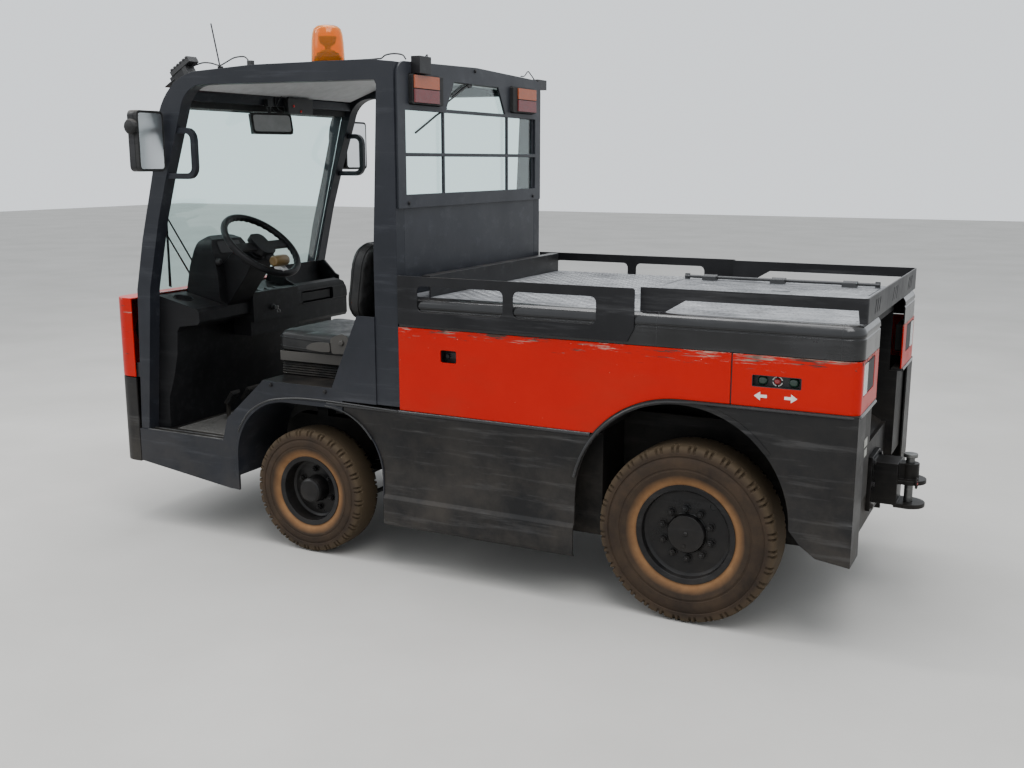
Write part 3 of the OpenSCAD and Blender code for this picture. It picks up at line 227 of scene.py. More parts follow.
print("a finish can", ", ".join(word for word in vars(Finish) if not word.startswith("_")))

# %% [markdown]
# ### Paint that has worked for years
# Shop paint is never one colour: it is mottled, it collects dust low down and on ledges, and
# it is scratched along the direction of travel. One function mixes these three for every
# painted part, and a table says how much of each a part gets.

# %% Painted metal
DUST = (0.150, 0.125, 0.100)


def painted(name, deep, pale, gloss, dust, scratches, shine):
    f = Finish(name, deep, gloss, Specular_IOR_Level=shine)
    mottle = f.ramp(f.noise(2.2, detail=8, rough=0.65), 0.35, 0.7)
    colour = f.blend(mottle, deep, pale)
    streaks = f.ramp(f.noise(14, (0.12, 1, 1.6), detail=8, rough=0.7), 0.54, 0.66)
    lines = f.ramp(f.noise(130, (0.03, 1, 1), detail=2), 0.62, 0.68)
    fine = f.times(f.most(f.times(streaks, 0.5), f.times(lines, streaks)), scratches)
    colour = f.blend(fine, colour, tuple(min(1, 2.6 * v + 0.05) for v in pale))
    low_down = f.height(0.95, 0.15)
    ledge = f.times(f.facing_up(), 0.7)
    patches = f.ramp(f.noise(5, detail=7, rough=0.7), 0.38, 0.68)
    dirt = f.times(f.times(f.most(low_down, ledge), patches), dust)
    f.paint(f.blend(dirt, colour, DUST))
    f.gloss(f.ramp(f.sums("ADD", f.times(patches, 0.5), f.times(mottle, 0.5)), 0, 1,
                   gloss - 0.08, gloss + 0.16))
    f.relief(f.noise(420, detail=2), 0.10, 0.0004)
    f.relief(streaks, 0.06, 0.0005)
    return f


PAINTS = [
    # name, deep colour, pale colour, roughness, dust, scratches, shine
    ("grey_paint", (0.0095, 0.0110, 0.0150), (0.0190, 0.0205, 0.0260), 0.40, 0.14, 0.30, 0.24),
    # the wall's grey is the cab's grey made lighter: painted light on the brightly lit rear wall
    # and its guard
    ("wall_paint", (0.0135, 0.0150, 0.0195), (0.0270, 0.0290, 0.0350), 0.40, 0.14, 0.20, 0.26),
    ("skirt_paint", (0.0080, 0.0082, 0.0088), (0.0175, 0.0170, 0.0170), 0.44, 0.22, 0.60, 0.15),
    ("black_paint", (0.0075, 0.0075, 0.0085), (0.0155, 0.0155, 0.0170), 0.36, 0.25, 0.40, 0.20),
    ("chassis_paint", (0.0045, 0.0045, 0.005), (0.0100, 0.0098, 0.0095), 0.50, 0.25, 0.25, 0.14),
    ("coupling_paint", (0.0030, 0.0030, 0.0033), (0.0075, 0.0072, 0.0070), 0.34, 0.10, 0.20, 0.12),
    ("rim_paint", (0.0035, 0.0035, 0.0040), (0.0080, 0.0080, 0.0090), 0.32, 0.10, 0.20, 0.22),
    ("battery_case", (0.060, 0.060, 0.065), (0.090, 0.090, 0.095), 0.60, 0.40, 0.30, 0.30),
]
finishes = {row[0]: painted(*row) for row in PAINTS}
print("painted finishes:", ", ".join(finishes))

# %% [markdown]
# ### Red enamel with rubbed edges
# Luggage and drawbars rub along the upper edge of the long red panels. There the enamel has
# gone in flakes down to dark primer, with pale scratches running fore and aft. The wear is a
# mask that only opens in a narrow band of height, broken up by stretched noise.

# %% Red enamel
def red_enamel(name, worn_from, worn_to):
    f = Finish(name, (0.40, 0.0045, 0.0006), 0.34, Specular_IOR_Level=0.14,
               Coat_Weight=0.03, Coat_Roughness=0.22)
    mottle = f.ramp(f.noise(1.6, detail=8, rough=0.6), 0.3, 0.7)
    colour = f.blend(mottle, (0.37, 0.0038, 0.0005), (0.44, 0.0058, 0.0008))
    band = f.height(worn_from, worn_to)
    flakes = f.ramp(f.sums("ADD", f.noise(64, (0.085, 1, 1), detail=8, rough=0.75),
                           f.times(band, 0.15)), 0.652, 0.69)
    scratch = f.ramp(f.sums("ADD", f.noise(90, (0.035, 1, 1), detail=3),
                            f.times(band, 0.16)), 0.75, 0.79)
    pale = f.ramp(f.noise(17, (0.3, 1, 1), detail=5), 0.47, 0.6)
    primer = f.blend(pale, (0.050, 0.030, 0.024), (0.36, 0.24, 0.19))
    worn = f.times(f.most(flakes, scratch), f.ramp(band, 0.02, 0.4, 0.25, 1))
    colour = f.blend(worn, colour, primer)
    chips = f.ramp(f.cells(34), 0.055, 0.035)
    chips = f.times(chips, f.ramp(f.noise(6), 0.56, 0.62))
    colour = f.blend(f.times(chips, 0.8), colour, (0.75, 0.42, 0.33))
    grime = f.times(f.ramp(f.noise(7, (0.4, 1, 1), detail=7), 0.52, 0.8), 0.28)
    f.paint(f.blend(grime, colour, (0.16, 0.035, 0.02)))
    f.gloss(f.ramp(f.sums("ADD", f.times(worn, 0.5), f.times(grime, 1.2)), 0, 0.8, 0.30, 0.62))
    f.relief(f.sums("SUBTRACT", f.noise(260, detail=2), f.times(worn, 2.0)), 0.10, 0.0005)
    return f


RUBBED = (0.945, 1.014)
finishes["red_enamel"] = red_enamel("red_enamel", *RUBBED)
finishes["nose_enamel"] = red_enamel("nose_enamel", 0.1, 1.9)
print("red enamel is rubbed between", *RUBBED, "m above the floor")

# %% [markdown]
# ### Moulded covers and rubber
# The shoulder covers and the dashboard are black mouldings with a fine grain, and the rubber
# of seals and bellows looks much the same. The grain could be noise, but the small cells of a
# Voronoi texture come nearer to the pebbled skin that a mould leaves.

# %% Mouldings
def moulding(name, deep, pale, gloss, grain, dust, shine, relief):
    f = Finish(name, deep, gloss, Specular_IOR_Level=shine)
    mottle = f.ramp(f.noise(4, detail=7, rough=0.65), 0.35, 0.7)
    streak = f.ramp(f.noise(26, (0.1, 1, 1), detail=6, rough=0.7), 0.5, 0.75)
    colour = f.blend(mottle, deep, pale)
    colour = f.blend(f.times(streak, 0.25), colour, tuple(3 * v + 0.02 for v in pale))
    film = f.times(f.times(f.facing_up(), f.ramp(f.noise(9, detail=6), 0.4, 0.7)), dust)
    f.paint(f.blend(film, colour, DUST))
    f.gloss(f.ramp(f.sums("ADD", mottle, film), 0, 1.3, gloss, gloss + 0.22))
    f.relief(f.cells(grain), relief, 0.0003)
    return f


MOULDINGS = [
    # name, deep colour, pale colour, roughness, grain, dust, shine, relief
    ("moulding", (0.0085, 0.0085, 0.009), (0.018, 0.018, 0.0195), 0.30, 700, 0.35, 0.24, 0.18),
    ("shoulder", (0.0065, 0.0065, 0.007), (0.013, 0.013, 0.014), 0.13, 700, 0.05, 0.50, 0.03),
    # the dashboard's moulding is darker than the others: painted shade for the shaded cab, on
    # dash, column, steering wheel, grip and beads
    ("dash_moulding", (0.0035, 0.0035, 0.004), (0.008, 0.008, 0.009), 0.40, 420, 0.06, 0.16,
     0.18),
    ("rubber_seal", (0.010, 0.010, 0.010), (0.020, 0.020, 0.020), 0.55, 900, 0.35, 0.24, 0.18),
]
finishes.update({row[0]: moulding(*row) for row in MOULDINGS})
print("moulded finishes:", len(MOULDINGS))

# %% [markdown]
# ### Walked deck plate and bare steel
# The deck is sheet steel with its paint walked off: bright on top of the pattern, dark
# between. The hatch's hinge rod lies on the same sheet and is still painted. A ramp on the
# height tells the rod from the sheet, so one finish serves both.

# %% Deck plate and steel
DECK_TOP = 1133
PAINTED_ABOVE = DECK_TOP / 1000 + 0.002


def walked_plate(name, deep, pale, metallic, gloss):
    f = Finish(name, deep, gloss, Metallic=metallic)
    worn = f.ramp(f.noise(3.2, detail=9, rough=0.7), 0.38, 0.66)
    scuffs = f.ramp(f.noise(40, (0.25, 1, 1), detail=6, rough=0.7), 0.5, 0.62)
    colour = f.blend(worn, deep, pale)
    colour = f.blend(f.times(scuffs, 0.4), colour, tuple(1.7 * v for v in pale))
    stains = f.ramp(f.noise(8, detail=6), 0.58, 0.72)
    colour = f.blend(f.times(stains, 0.5), colour, (0.05, 0.045, 0.04))
    if name == "deck_metal":
        hinge = f.height(PAINTED_ABOVE - 0.0005, PAINTED_ABOVE + 0.0005)
        colour = f.blend(hinge, colour, (0.045, 0.046, 0.048))
    f.paint(colour)
    f.gloss(f.ramp(worn, 0, 1, gloss + 0.12, gloss))
    f.relief(f.noise(160, detail=5), 0.15, 0.0004)
    return f


PLATES = [
    # name, deep colour, pale colour, metallic, roughness
    ("deck_metal", (0.088, 0.091, 0.098), (0.235, 0.240, 0.250), 0.40, 0.42),
    ("pattern_metal", (0.088, 0.091, 0.096), (0.260, 0.265, 0.275), 0.50, 0.38),
    ("dull_steel", (0.05, 0.05, 0.05), (0.14, 0.14, 0.135), 0.8, 0.36),
    ("steel", (0.20, 0.20, 0.20), (0.42, 0.42, 0.41), 0.9, 0.32),
]
finishes.update({row[0]: walked_plate(*row) for row in PLATES})
print("finishes so far:", len(finishes))

# %% [markdown]
# ### Dusty solid tyres
# A solid tyre on concrete is brown with dust, darker where the sidewall bulges, and nearly
# orange in the hollow beside the rim, where dust collects and the rim rusts. That ring is
# drawn by the distance from the axle, so the rear and the front tyres each have their rubber.

# %% Tyre rubber
def tyre_rubber(name, axle, outer_r, rim_r):
    f = Finish(name, (0.06, 0.045, 0.035), 0.85, Specular_IOR_Level=0.20)
    minus = f.node("VectorMath", operation="SUBTRACT")
    f.put(minus.inputs[0], f.place)
    minus.inputs[1].default_value = axle
    flat = f.node("VectorMath", operation="MULTIPLY")
    f.put(flat.inputs[0], minus.outputs[0])
    flat.inputs[1].default_value = (1, 0, 1)
    length = f.node("VectorMath", operation="LENGTH")
    f.put(length.inputs[0], flat.outputs[0])
    radius = length.outputs["Value"]
    dusty = f.ramp(f.noise(7, detail=8, rough=0.7), 0.35, 0.7)
    colour = f.blend(dusty, (0.020, 0.0135, 0.0095), (0.052, 0.034, 0.021))
    tread = f.ramp(radius, outer_r - 0.030, outer_r - 0.004)
    colour = f.blend(f.times(tread, 0.75), colour, (0.074, 0.053, 0.031))
    wobble = f.sums("ADD", radius, f.times(f.noise(9, detail=4), 0.012))
    ring = f.times(f.ramp(wobble, rim_r + 0.044, rim_r + 0.018),
                   f.ramp(wobble, rim_r - 0.004, rim_r + 0.010))
    rust = f.blend(f.noise(16, detail=6, rough=0.7), (0.120, 0.050, 0.016), (0.270, 0.150, 0.070))
    patchy = f.ramp(f.noise(10, detail=5), 0.25, 0.6, 0.6, 1.0)
    f.paint(f.blend(f.times(ring, patchy), colour, rust))
    f.gloss(f.ramp(dusty, 0, 1, 0.72, 0.92))
    f.relief(f.noise(90, detail=8, rough=0.7), 0.35, 0.0012)
    return f


WHEELS = {
    # end: axle's x, tyre's radius and width, rim's radius, lugs of the tread
    "rear": (0, 332, 180, 186, 32),
    "front": (1670, 268, 150, 151, 28),
}
for end, (axle_x, tyre_r, _, rim_r, _) in WHEELS.items():
    name = "rubber_" + end
    finishes[name] = tyre_rubber(name, at(axle_x, 0, tyre_r), tyre_r / 1000, rim_r / 1000)
    print(name, "for tyres of", tyre_r, "mm radius")

# %% [markdown]
# ### Glass and mirrors
# Window glass and the amber of the beacon let light through. That is done with transmission,
# since alpha, the other way, would make the reflections fade along with the sheet. The outer
# mirrors are a little dusty, so they are metal with some roughness.

# %% Glass
finishes["glass"] = Finish("glass", (0.80, 1.0, 0.975), 0.02, Transmission_Weight=1.0, IOR=1.45)
finishes["amber"] = Finish("amber", (0.92, 0.32, 0.0), 0.05, Transmission_Weight=0.86, IOR=1.35)
finishes["mirror_glass"] = Finish("mirror_glass", (0.76, 0.78, 0.80), 0.34, Metallic=1.0)
print("clear finishes: glass, amber, mirror_glass")

# %% [markdown]
# ### Small plain finishes and the seat's vinyl
# Lenses, buttons, leads and mats need a colour, a gloss and a fine grain, and nothing more, so
# they come from one table. The vinyl of the seat has two layers of relief: the grain of the
# skin, and the soft creases that years of sitting leave.

# %% Small finishes and vinyl
PLAIN = [
    # name, colour, roughness, coat, size of the relief's grain
    ("lens_red", (0.115, 0.004, 0.006), 0.22, 0.3, 900),
    ("lens_orange", (0.30, 0.055, 0.008), 0.22, 0.3, 900),
    ("lens_white", (0.62, 0.64, 0.63), 0.20, 0.8, 900),
    ("button_green", (0.004, 0.028, 0.016), 0.30, 0.3, 600),
    ("button_red", (0.30, 0.020, 0.022), 0.32, 0.3, 600),
    ("white_paint", (0.72, 0.70, 0.66), 0.45, 0.0, 300),
    ("cable_black", (0.014, 0.014, 0.015), 0.50, 0.0, 500),
    ("roof_lining", (0.62, 0.62, 0.63), 0.80, 0.0, 260),
    ("suspension_tan", (0.040, 0.036, 0.031), 0.60, 0.0, 300),
    ("knob_olive", (0.120, 0.072, 0.018), 0.45, 0.2, 400),
    ("floor_mat", (0.095, 0.092, 0.086), 0.85, 0.0, 60),
    # the inside mirror is plain grey paint: a painted reflection in place of mirror glass
    ("cabin_mirror", (0.30, 0.30, 0.30), 0.22, 0.3, 900),
    ("led_red", (0.80, 0.02, 0.01), 0.30, 0.0, 900),
    ("plate_blank", (0.30, 0.30, 0.27), 0.50, 0.0, 200),
]
for name, colour, roughness, coat, grain in PLAIN:
    f = Finish(name, colour, roughness, Coat_Weight=coat)
    shade = f.ramp(f.noise(22, detail=6, rough=0.7), 0.3, 0.75)
    f.paint(f.blend(shade, tuple(0.78 * v for v in colour), colour))
    f.relief(f.noise(grain, detail=3), 0.15, 0.0004)
    finishes[name] = f

vinyl = Finish("seat_vinyl", (0.010, 0.010, 0.011), 0.42, Specular_IOR_Level=0.30)
creases = vinyl.ramp(vinyl.noise(11, detail=8, rough=0.7), 0.40, 0.62)
vinyl.paint(vinyl.blend(creases, (0.006, 0.006, 0.0065), (0.017, 0.0168, 0.0165)))
vinyl.gloss(vinyl.ramp(creases, 0, 1, 0.38, 0.58))
vinyl.relief(vinyl.cells(520), 0.30, 0.0005)
vinyl.relief(vinyl.noise(30, detail=5), 0.20, 0.0030)
finishes["seat_vinyl"] = vinyl
print("finishes in all:", len(finishes))

# %% [markdown]
# ## Giving the frame its finishes
# A solid from the drawing has edges as sharp as a knife, and real sheet metal never has. Four
# modifiers mend that without touching the mesh: one welds the corners, one melts the flat
# triangles back into whole faces, one rounds every edge, and the last weighs the normals so
# that flats stay flat.

# %% Dress a node of the frame
# edges that bend more than SHARP are rounded, triangles that bend less than FLAT are one
# face, and corners nearer than TOUCHING, in metres, are one corner
SHARP = math.radians(28)
FLAT = math.radians(0.6)
TOUCHING = 0.00002


def round_edges(made, edge, steps):
    """Rounds the edges of an object; edge is the radius in millimetres."""
    soften = made.modifiers.new("round", "BEVEL")
    soften.width = edge / 1000
    soften.segments = steps
    soften.limit_method = "ANGLE"
    soften.angle_limit = SHARP
    level = made.modifiers.new("level", "WEIGHTED_NORMAL")
    level.keep_sharp = False


def dress(node, finish, edge, steps):
    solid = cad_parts[node]
    for place in solid.material_slots:
        place.material = finishes[finish].look
    weld = solid.modifiers.new("weld", "WELD")
    weld.merge_threshold = TOUCHING
    melt = solid.modifiers.new("melt", "DECIMATE")
    melt.decimate_type = "DISSOLVE"
    melt.angle_limit = FLAT
    round_edges(solid, edge, steps)


DRESS = [
    # node, finish, edge radius in mm, steps
    ("chassis_frame", "chassis_paint", 1.5, 2), ("front_axle", "chassis_paint", 2, 2),
    ("rear_axle", "chassis_paint", 3, 2), ("drive_motors", "chassis_paint", 6, 2),
    ("battery", "battery_case", 4, 2), ("cab_floor", "chassis_paint", 1.5, 2),
    ("nose_panel", "skirt_paint", 2, 2), ("nose_band", "nose_enamel", 2, 2),
    ("front_fenders", "grey_paint", 2, 3), ("mid_skirts", "skirt_paint", 2, 3),
    ("rear_fenders", "skirt_paint", 2, 3), ("side_panels", "red_enamel", 1.6, 3),
    ("corner_panels", "red_enamel", 1.6, 3), ("shoulder_covers", "shoulder", 1, 2),
    ("deck_plate", "deck_metal", 1, 2), ("deck_hatch", "deck_metal", 1, 2),
    ("deck_rails", "black_paint", 1.5, 2), ("rear_rail", "black_paint", 1.5, 2),
    ("cab_frame", "grey_paint", 9, 4), ("roof_panel", "grey_paint", 1.5, 2),
    ("rear_wall", "wall_paint", 1.5, 2), ("window_guard", "wall_paint", 1.8, 3),
    ("glazing", "glass", 1, 2), ("dashboard", "dash_moulding", 6, 3),
    ("steering_column", "dash_moulding", 6, 3), ("steering_wheel", "dash_moulding", 3, 2),
    ("seat_base", "chassis_paint", 2, 2), ("lamps", "rubber_seal", 1.5, 2),
    ("mirrors", "moulding", 4, 3), ("roof_gear", "moulding", 2, 2),
    ("hitch_body", "coupling_paint", 3, 3), ("hitch_pin", "dull_steel", 2, 2),
    ("knuckle_left", "chassis_paint", 2, 2), ("knuckle_right", "chassis_paint", 2, 2),
    ("tie_rod", "chassis_paint", 1.5, 2), ("front_rim_left", "rim_paint", 1.5, 2),
    ("front_rim_right", "rim_paint", 1.5, 2), ("rear_rim_left", "rim_paint", 1.5, 2),
    ("rear_rim_right", "rim_paint", 1.5, 2),
]
for row in DRESS:
    dress(*row)
print("dressed", len(DRESS), "of", len(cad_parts), "nodes")

# %% [markdown]
# ## A kit for new pieces
# What a workshop bolts on is made of a few simple forms: blocks, plates cut to an outline,
# turned parts, rods and bent tubes. All of them are one thing to the computer, a row of rings
# with faces between them, so one `loft` builds every form. Places are drawing millimetres.

# %% Lofts, blocks and plates
class Forms:
    def __init__(self, turn=None):
        self.mesh = bmesh.new()
        self.turn = turn

    def add(self, points, faces):
        if self.turn:
            points = [self.turn @ Vector(p) for p in points]
        corners = [self.mesh.verts.new(at(*p)) for p in points]
        for face in faces:
            self.mesh.faces.new([corners[i] for i in face])

    def loft(self, rings, closed=False):
        count = len(rings[0])
        faces = []
        pairs = len(rings) if closed else len(rings) - 1
        for k in range(pairs):
            a, b = k * count, (k + 1) % len(rings) * count
            faces += [(a + i, a + (i + 1) % count, b + (i + 1) % count, b + i)
                      for i in range(count)]
        if not closed:
            last = (len(rings) - 1) * count
            faces += [tuple(range(count)), tuple(range(last, last + count))]
        self.add([p for ring in rings for p in ring], faces)

    def block(self, lowest, highest):
        (x0, y0, z0), (x1, y1, z1) = lowest, highest
        self.loft([[(x0, y0, z), (x1, y0, z), (x1, y1, z), (x0, y1, z)] for z in (z0, z1)])

    def plate(self, outline, move):
        first = [Vector(p) for p in outline]
        self.loft([first, [p + Vector(move) for p in first]])


print("forms so far: loft, block, plate")

# %% [markdown]
# ### Turned parts, rods and tubes, and the finished piece
# A turned part is a profile taken round an axis, and a tube a circle taken along a path. The
# circle is carried from place to place without twisting. `piece` closes the work: it makes
# one named mesh, gives it its finish, and lets it ride on a body of the frame.

# %% Turned parts, tubes and pieces
def around(radius, count, first=0, step=None):
    """Places on a circle round (0, 0); first and step are angles in degrees."""
    angles = [math.radians(first + (step or 360 / count) * k) for k in range(count)]
    return [(radius * math.cos(a), radius * math.sin(a)) for a in angles]


class Shape(Forms):
    def turned(self, profile, centre, axis, steps=32):
        spin = Vector((0, 0, 1)).rotation_difference(Vector(axis))
        self.loft([[Vector(centre) + spin @ Vector((x, y, rise)) for x, y in around(r, steps)]
                   for r, rise in profile])

    def rod(self, start, end, radius, end_radius=None, steps=16):
        way = Vector(end) - Vector(start)
        self.turned([(radius, 0), (end_radius or radius, way.length)], start, way, steps)

    def tube(self, points, radius, steps, closed=False):
        points = [Vector(p) for p in points]
        count = len(points)
        rings, side = [], None
        for k, point in enumerate(points):
            before = points[k - 1] if k or closed else point
            after = points[(k + 1) % count] if k < count - 1 or closed else point
            way = (after - before).normalized()
            if side is None:
                side = way.orthogonal().normalized()
            side = (side - way * side.dot(way)).normalized()
            up = way.cross(side)
            rings.append([point + x * side + y * up for x, y in around(radius, steps)])
        self.loft(rings, closed=closed)

    def piece(self, name, finish, slot, body="body", edge=0.0, smooth=35):
        bmesh.ops.recalc_face_normals(self.mesh, faces=self.mesh.faces)
        mesh = bpy.data.meshes.new(name)
        self.mesh.to_mesh(mesh)
        self.mesh.free()
        made = linked(name, mesh)
        mesh.materials.append(finishes[finish].look)
        for face in mesh.polygons:
            face.use_smooth = True
        mesh.set_sharp_from_angle(angle=math.radians(smooth))
        if edge:
            round_edges(made, edge, steps=2)
        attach(made, body)
        return made


print("forms now:", ", ".join(word for word in vars(Shape) if not word.startswith("_")))

# %% [markdown]
# ### Round corners and slanted shapes
# Few plates have sharp corners. `round_corners` bends each corner of an outline into a small
# curve before the plate is cut. `placed` gives the matrix of a shape that is drawn straight
# and then laid over, as the steering wheel and the pedals are.

# %% Corners and slants
def round_corners(outline, radius, steps=4):
    """Rounds the corners of a flat outline of (a, b) points."""
    result = []
    count = len(outline)
    for k in range(count):
        here = Vector(outline[k])
        back = Vector(outline[k - 1]) - here
        on = Vector(outline[(k + 1) % count]) - here
        reach = min(radius, back.length / 2, on.length / 2)
        a, b = here + back.normalized() * reach, here + on.normalized() * reach
        for i in range(steps + 1):
            t = i / steps
            result.append(a * (1 - t) ** 2 + here * 2 * t * (1 - t) + b * t ** 2)
    return result


def placed(place, *turns):
    """Turns a shape by each (degrees, axis) and sets it down at a place."""
    matrix = Matrix.Translation(place)
    for degrees, axis in turns:
        matrix = matrix @ Matrix.Rotation(math.radians(degrees), 4, axis)
    return matrix


print("a square with round corners has", len(round_corners([(0, 0), (9, 0), (9, 9), (0, 9)], 2)),
      "points")

# %% [markdown]
# ## Tyres
# Each tyre is turned from one profile and then notched: the shoulder of this tread has a pair
# of short slots at every lug. The frame's tyre has the right size but plain steps, so a finer
# one stands for it. The outer rings are pressed in by a few millimetres where a slot runs.

# %% Turn and notch a tyre
SIDES = ((1, "left"), (-1, "right"))
# how far out a tyre reaches, and which rings of the sixteen in a lug run through a slot
TYRE_FACE = 628
RINGS_PER_LUG = 16
SLOTTED_RINGS = (2, 3, 7, 8)


def worn_tyre(end, side, word):
    axle_x, outer_r, width, rim_r, lugs = WHEELS[end]
    half = width / 2
    fall = outer_r - rim_r
    profile = [  # radius, distance from the tyre's middle, depth of a slot there
        (outer_r, 0, 0), (outer_r, 0.34 * half, 0), (outer_r - 0.5, 0.62 * half, 0),
        (outer_r - 1, 0.66 * half, 9), (outer_r - 3, 0.84 * half, 10),
        (outer_r - 7, 0.945 * half, 10), (outer_r - 14, half - 1.5, 8),
        (outer_r - 24, half, 6), (outer_r - 27, half, 0), (outer_r - 37, half, 0),
        (outer_r - 39, half - 3, 0), (outer_r - 42, half - 3, 0), (outer_r - 44, half - 1, 0),
        (outer_r - 0.45 * fall, half, 0), (outer_r - 0.56 * fall, half - 0.5, 0),
        (outer_r - 0.57 * fall, half - 2.5, 0), (outer_r - 0.62 * fall, half - 2.5, 0),
        (outer_r - 0.63 * fall, half - 1, 0), (rim_r + 0.27 * fall, half - 3, 0),
        (rim_r + 0.16 * fall, half - 7, 0), (rim_r + 0.07 * fall, half - 13, 0),
        (rim_r + 1, half - 16, 0), (rim_r - 9, half - 17, 0)]
    whole = profile[::-1] + [(r, -y, cut) for r, y, cut in profile[1:]]
    rings = []
    for k, (x, z) in enumerate(around(1, lugs * RINGS_PER_LUG)):
        ring = []
        for r, y, cut in whole:
            inward = cut if k % RINGS_PER_LUG in SLOTTED_RINGS else 0
            radius = r - (inward if r > outer_r - 12 else 0)
            aside = y - math.copysign(inward if abs(y) > 0.9 * half else 0, y)
            ring.append((axle_x + radius * x, side * (TYRE_FACE - half + aside),
                         outer_r + radius * z))
        rings.append(ring)
    shape = Shape()
    shape.loft(rings, closed=True)
    made = shape.piece(end + "_solid_tyre_" + word, "rubber_" + end, "tyre_rubber",
                       end + "_wheel_" + word[0], smooth=48)
    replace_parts(made, end + "_tyre_" + word)
    print(made.name, len(made.data.polygons), "faces")


for end in WHEELS:
    for side, word in SIDES:
        worn_tyre(end, side, word)

# %% [markdown] ## Wheel nuts and hubs The rear wheels hang on ten nuts round a flat cap,
# the front ones sit deep in the dish on six. A nut is a hexagon on a round washer, with the
# end of its stud showing.

# %% Nuts and studs
REAR_AXLE, FRONT_AXLE = [(wheel[0], 0, wheel[1]) for wheel in WHEELS.values()]


def nuts(name, body, axle, side, face_y, circle, count, across):
    shape = Shape()
    out = (0, side, 0)
    for x, z in around(circle, count, 0.4 * 360 / count):
        centre = (axle[0] + x, side * face_y, axle[2] + z)
        shape.turned([(0.62 * across, -2), (0.62 * across, 3), (0.54 * across, 4)],
                     centre, out, 20)
        shape.turned([(0.5 * across, 3), (0.5 * across, 15), (0.42 * across, 18)],
                     centre, out, 6)
        shape.turned([(0.26 * across, 16), (0.26 * across, 23), (0.2 * across, 25)],
                     centre, out, 12)
    shape.piece(name, "rim_paint", "black_paint", body, edge=0.6)


print("nuts go round", REAR_AXLE, "and", FRONT_AXLE)

# %% [markdown]
# ### Caps and valve holes
# The caps are turned too: a beaded ring with a centre screw behind, a plain hub in front. The
# round hole for the valve is a dark dimple, because cutting the rim would show no more.

# %% Nuts, caps and valve holes on the wheels
for side, word in SIDES:
    rear, front = "rear_wheel_" + word[0], "front_wheel_" + word[0]
    nuts("nuts_rear_" + word, rear, REAR_AXLE, side, 586, 94, 10, 27)
    nuts("nuts_front_" + word, front, FRONT_AXLE, side, 550, 84, 6, 24)
    out = (0, side, 0)
    cap = Shape()
    cap.turned([(77, 584), (77, 588), (74, 590), (71, 588), (71, 584)], REAR_AXLE, out, 56)
    cap.turned([(9, 604), (9, 608), (6, 611), (0.5, 611.5)], REAR_AXLE, out, 20)
    cap.turned([(8, 604), (8, 609), (5, 610)], (6, 0, REAR_AXLE[2] - 46), out, 6)
    cap.piece("cap_ring_rear_" + word, "rim_paint", "black_paint", rear, edge=0.5)
    hole = Shape()
    hole.turned([(17, 585), (17, 587.5), (14, 588), (13, 586.2), (1, 586.1)],
                (-96, 0, REAR_AXLE[2] + 112), out, 28)
    hole.piece("valve_hole_" + word, "rubber_seal", "black_paint", rear)
    hub = Shape()
    hub.turned([(52, 604), (52, 612), (44, 618), (12, 620), (1, 620)], FRONT_AXLE, out, 40)
    hub.piece("hub_cap_front_" + word, "rim_paint", "black_paint", front, edge=0.8)
print("nuts and caps on four wheels")

# %% [markdown]
# ## Chequer plate
# The deck is covered with raised lozenges that stand in turn along and across. A bump texture
# would be lighter, but it goes flat in the low view along the deck. So they are real: one
# flat-topped pyramid each, joined in one mesh for the deck and one for the hatch, so that the
# hatch takes its own pattern with it when it opens.

# %% Lozenges
PITCH = 27.0
FOOT_OF_LOZENGE = (13.0, 4.2, -0.3)
TOP_OF_LOZENGE = (0.72 * 13.0, 0.5 * 4.2, 1.1)


def lozenges(name, body, sheet, keep_out=()):
    """Covers a rectangle (x0, x1, y0, y1) but for the smaller ones to keep out of."""
    x0, x1, y0, y1 = sheet
    shape = Shape()
    made = 0
    for i in range(int((x1 - x0) / PITCH)):
        for j in range(int((y1 - y0) / PITCH)):
            x, y = x0 + (i + 0.5) * PITCH, y0 + (j + 0.5) * PITCH
            if any(a < x < b and c < y < d for a, b, c, d in keep_out):
                continue
            shape.turn = placed((x, y, DECK_TOP), (45 if (i + j) % 2 else -45, "Z"))
            shape.loft([[(a, 0, z), (0, b, z), (-a, 0, z), (0, -b, z)]
                        for a, b, z in (FOOT_OF_LOZENGE, TOP_OF_LOZENGE)])
            made += 1
    shape.piece(name, "pattern_metal", "deck_metal", body, smooth=10)
    print(name, made, "lozenges")


FRONT_SHEET = (406, 1052, -594, 594)
REAR_SHEET = (-560, 398, -594, 594)
HATCH_BAY = (-478, 414, -535, -190)
REAR_CORNERS = [(-600, -525, 560, 600), (-600, -525, -600, -560)]
HATCH_SHEET = (-442, 380, -450, -222)
FINGER_NOTCH = (-165, -50, -250, -200)
lozenges("pattern_front", "body", FRONT_SHEET)
lozenges("pattern_rear", "body", REAR_SHEET, [HATCH_BAY, *REAR_CORNERS])
lozenges("pattern_hatch", "hatch", HATCH_SHEET, [FINGER_NOTCH])

# %% [markdown]
# ## The driver's seat
# The cushion and the backrest are vinyl over foam. It begins with a block a little smaller
# than the real thing, its rims pulled in. The block is then cut into small even squares, since
# the simulation that follows can only bend a skin where it has points.

# %% A block of foam
SQUARE = 0.007


def keep(made):
    """Turns what the modifiers show into the object's own mesh."""
    graph = bpy.context.evaluated_depsgraph_get()
    shown = bpy.data.meshes.new_from_object(made.evaluated_get(graph))
    made.modifiers.clear()
    made.data = shown


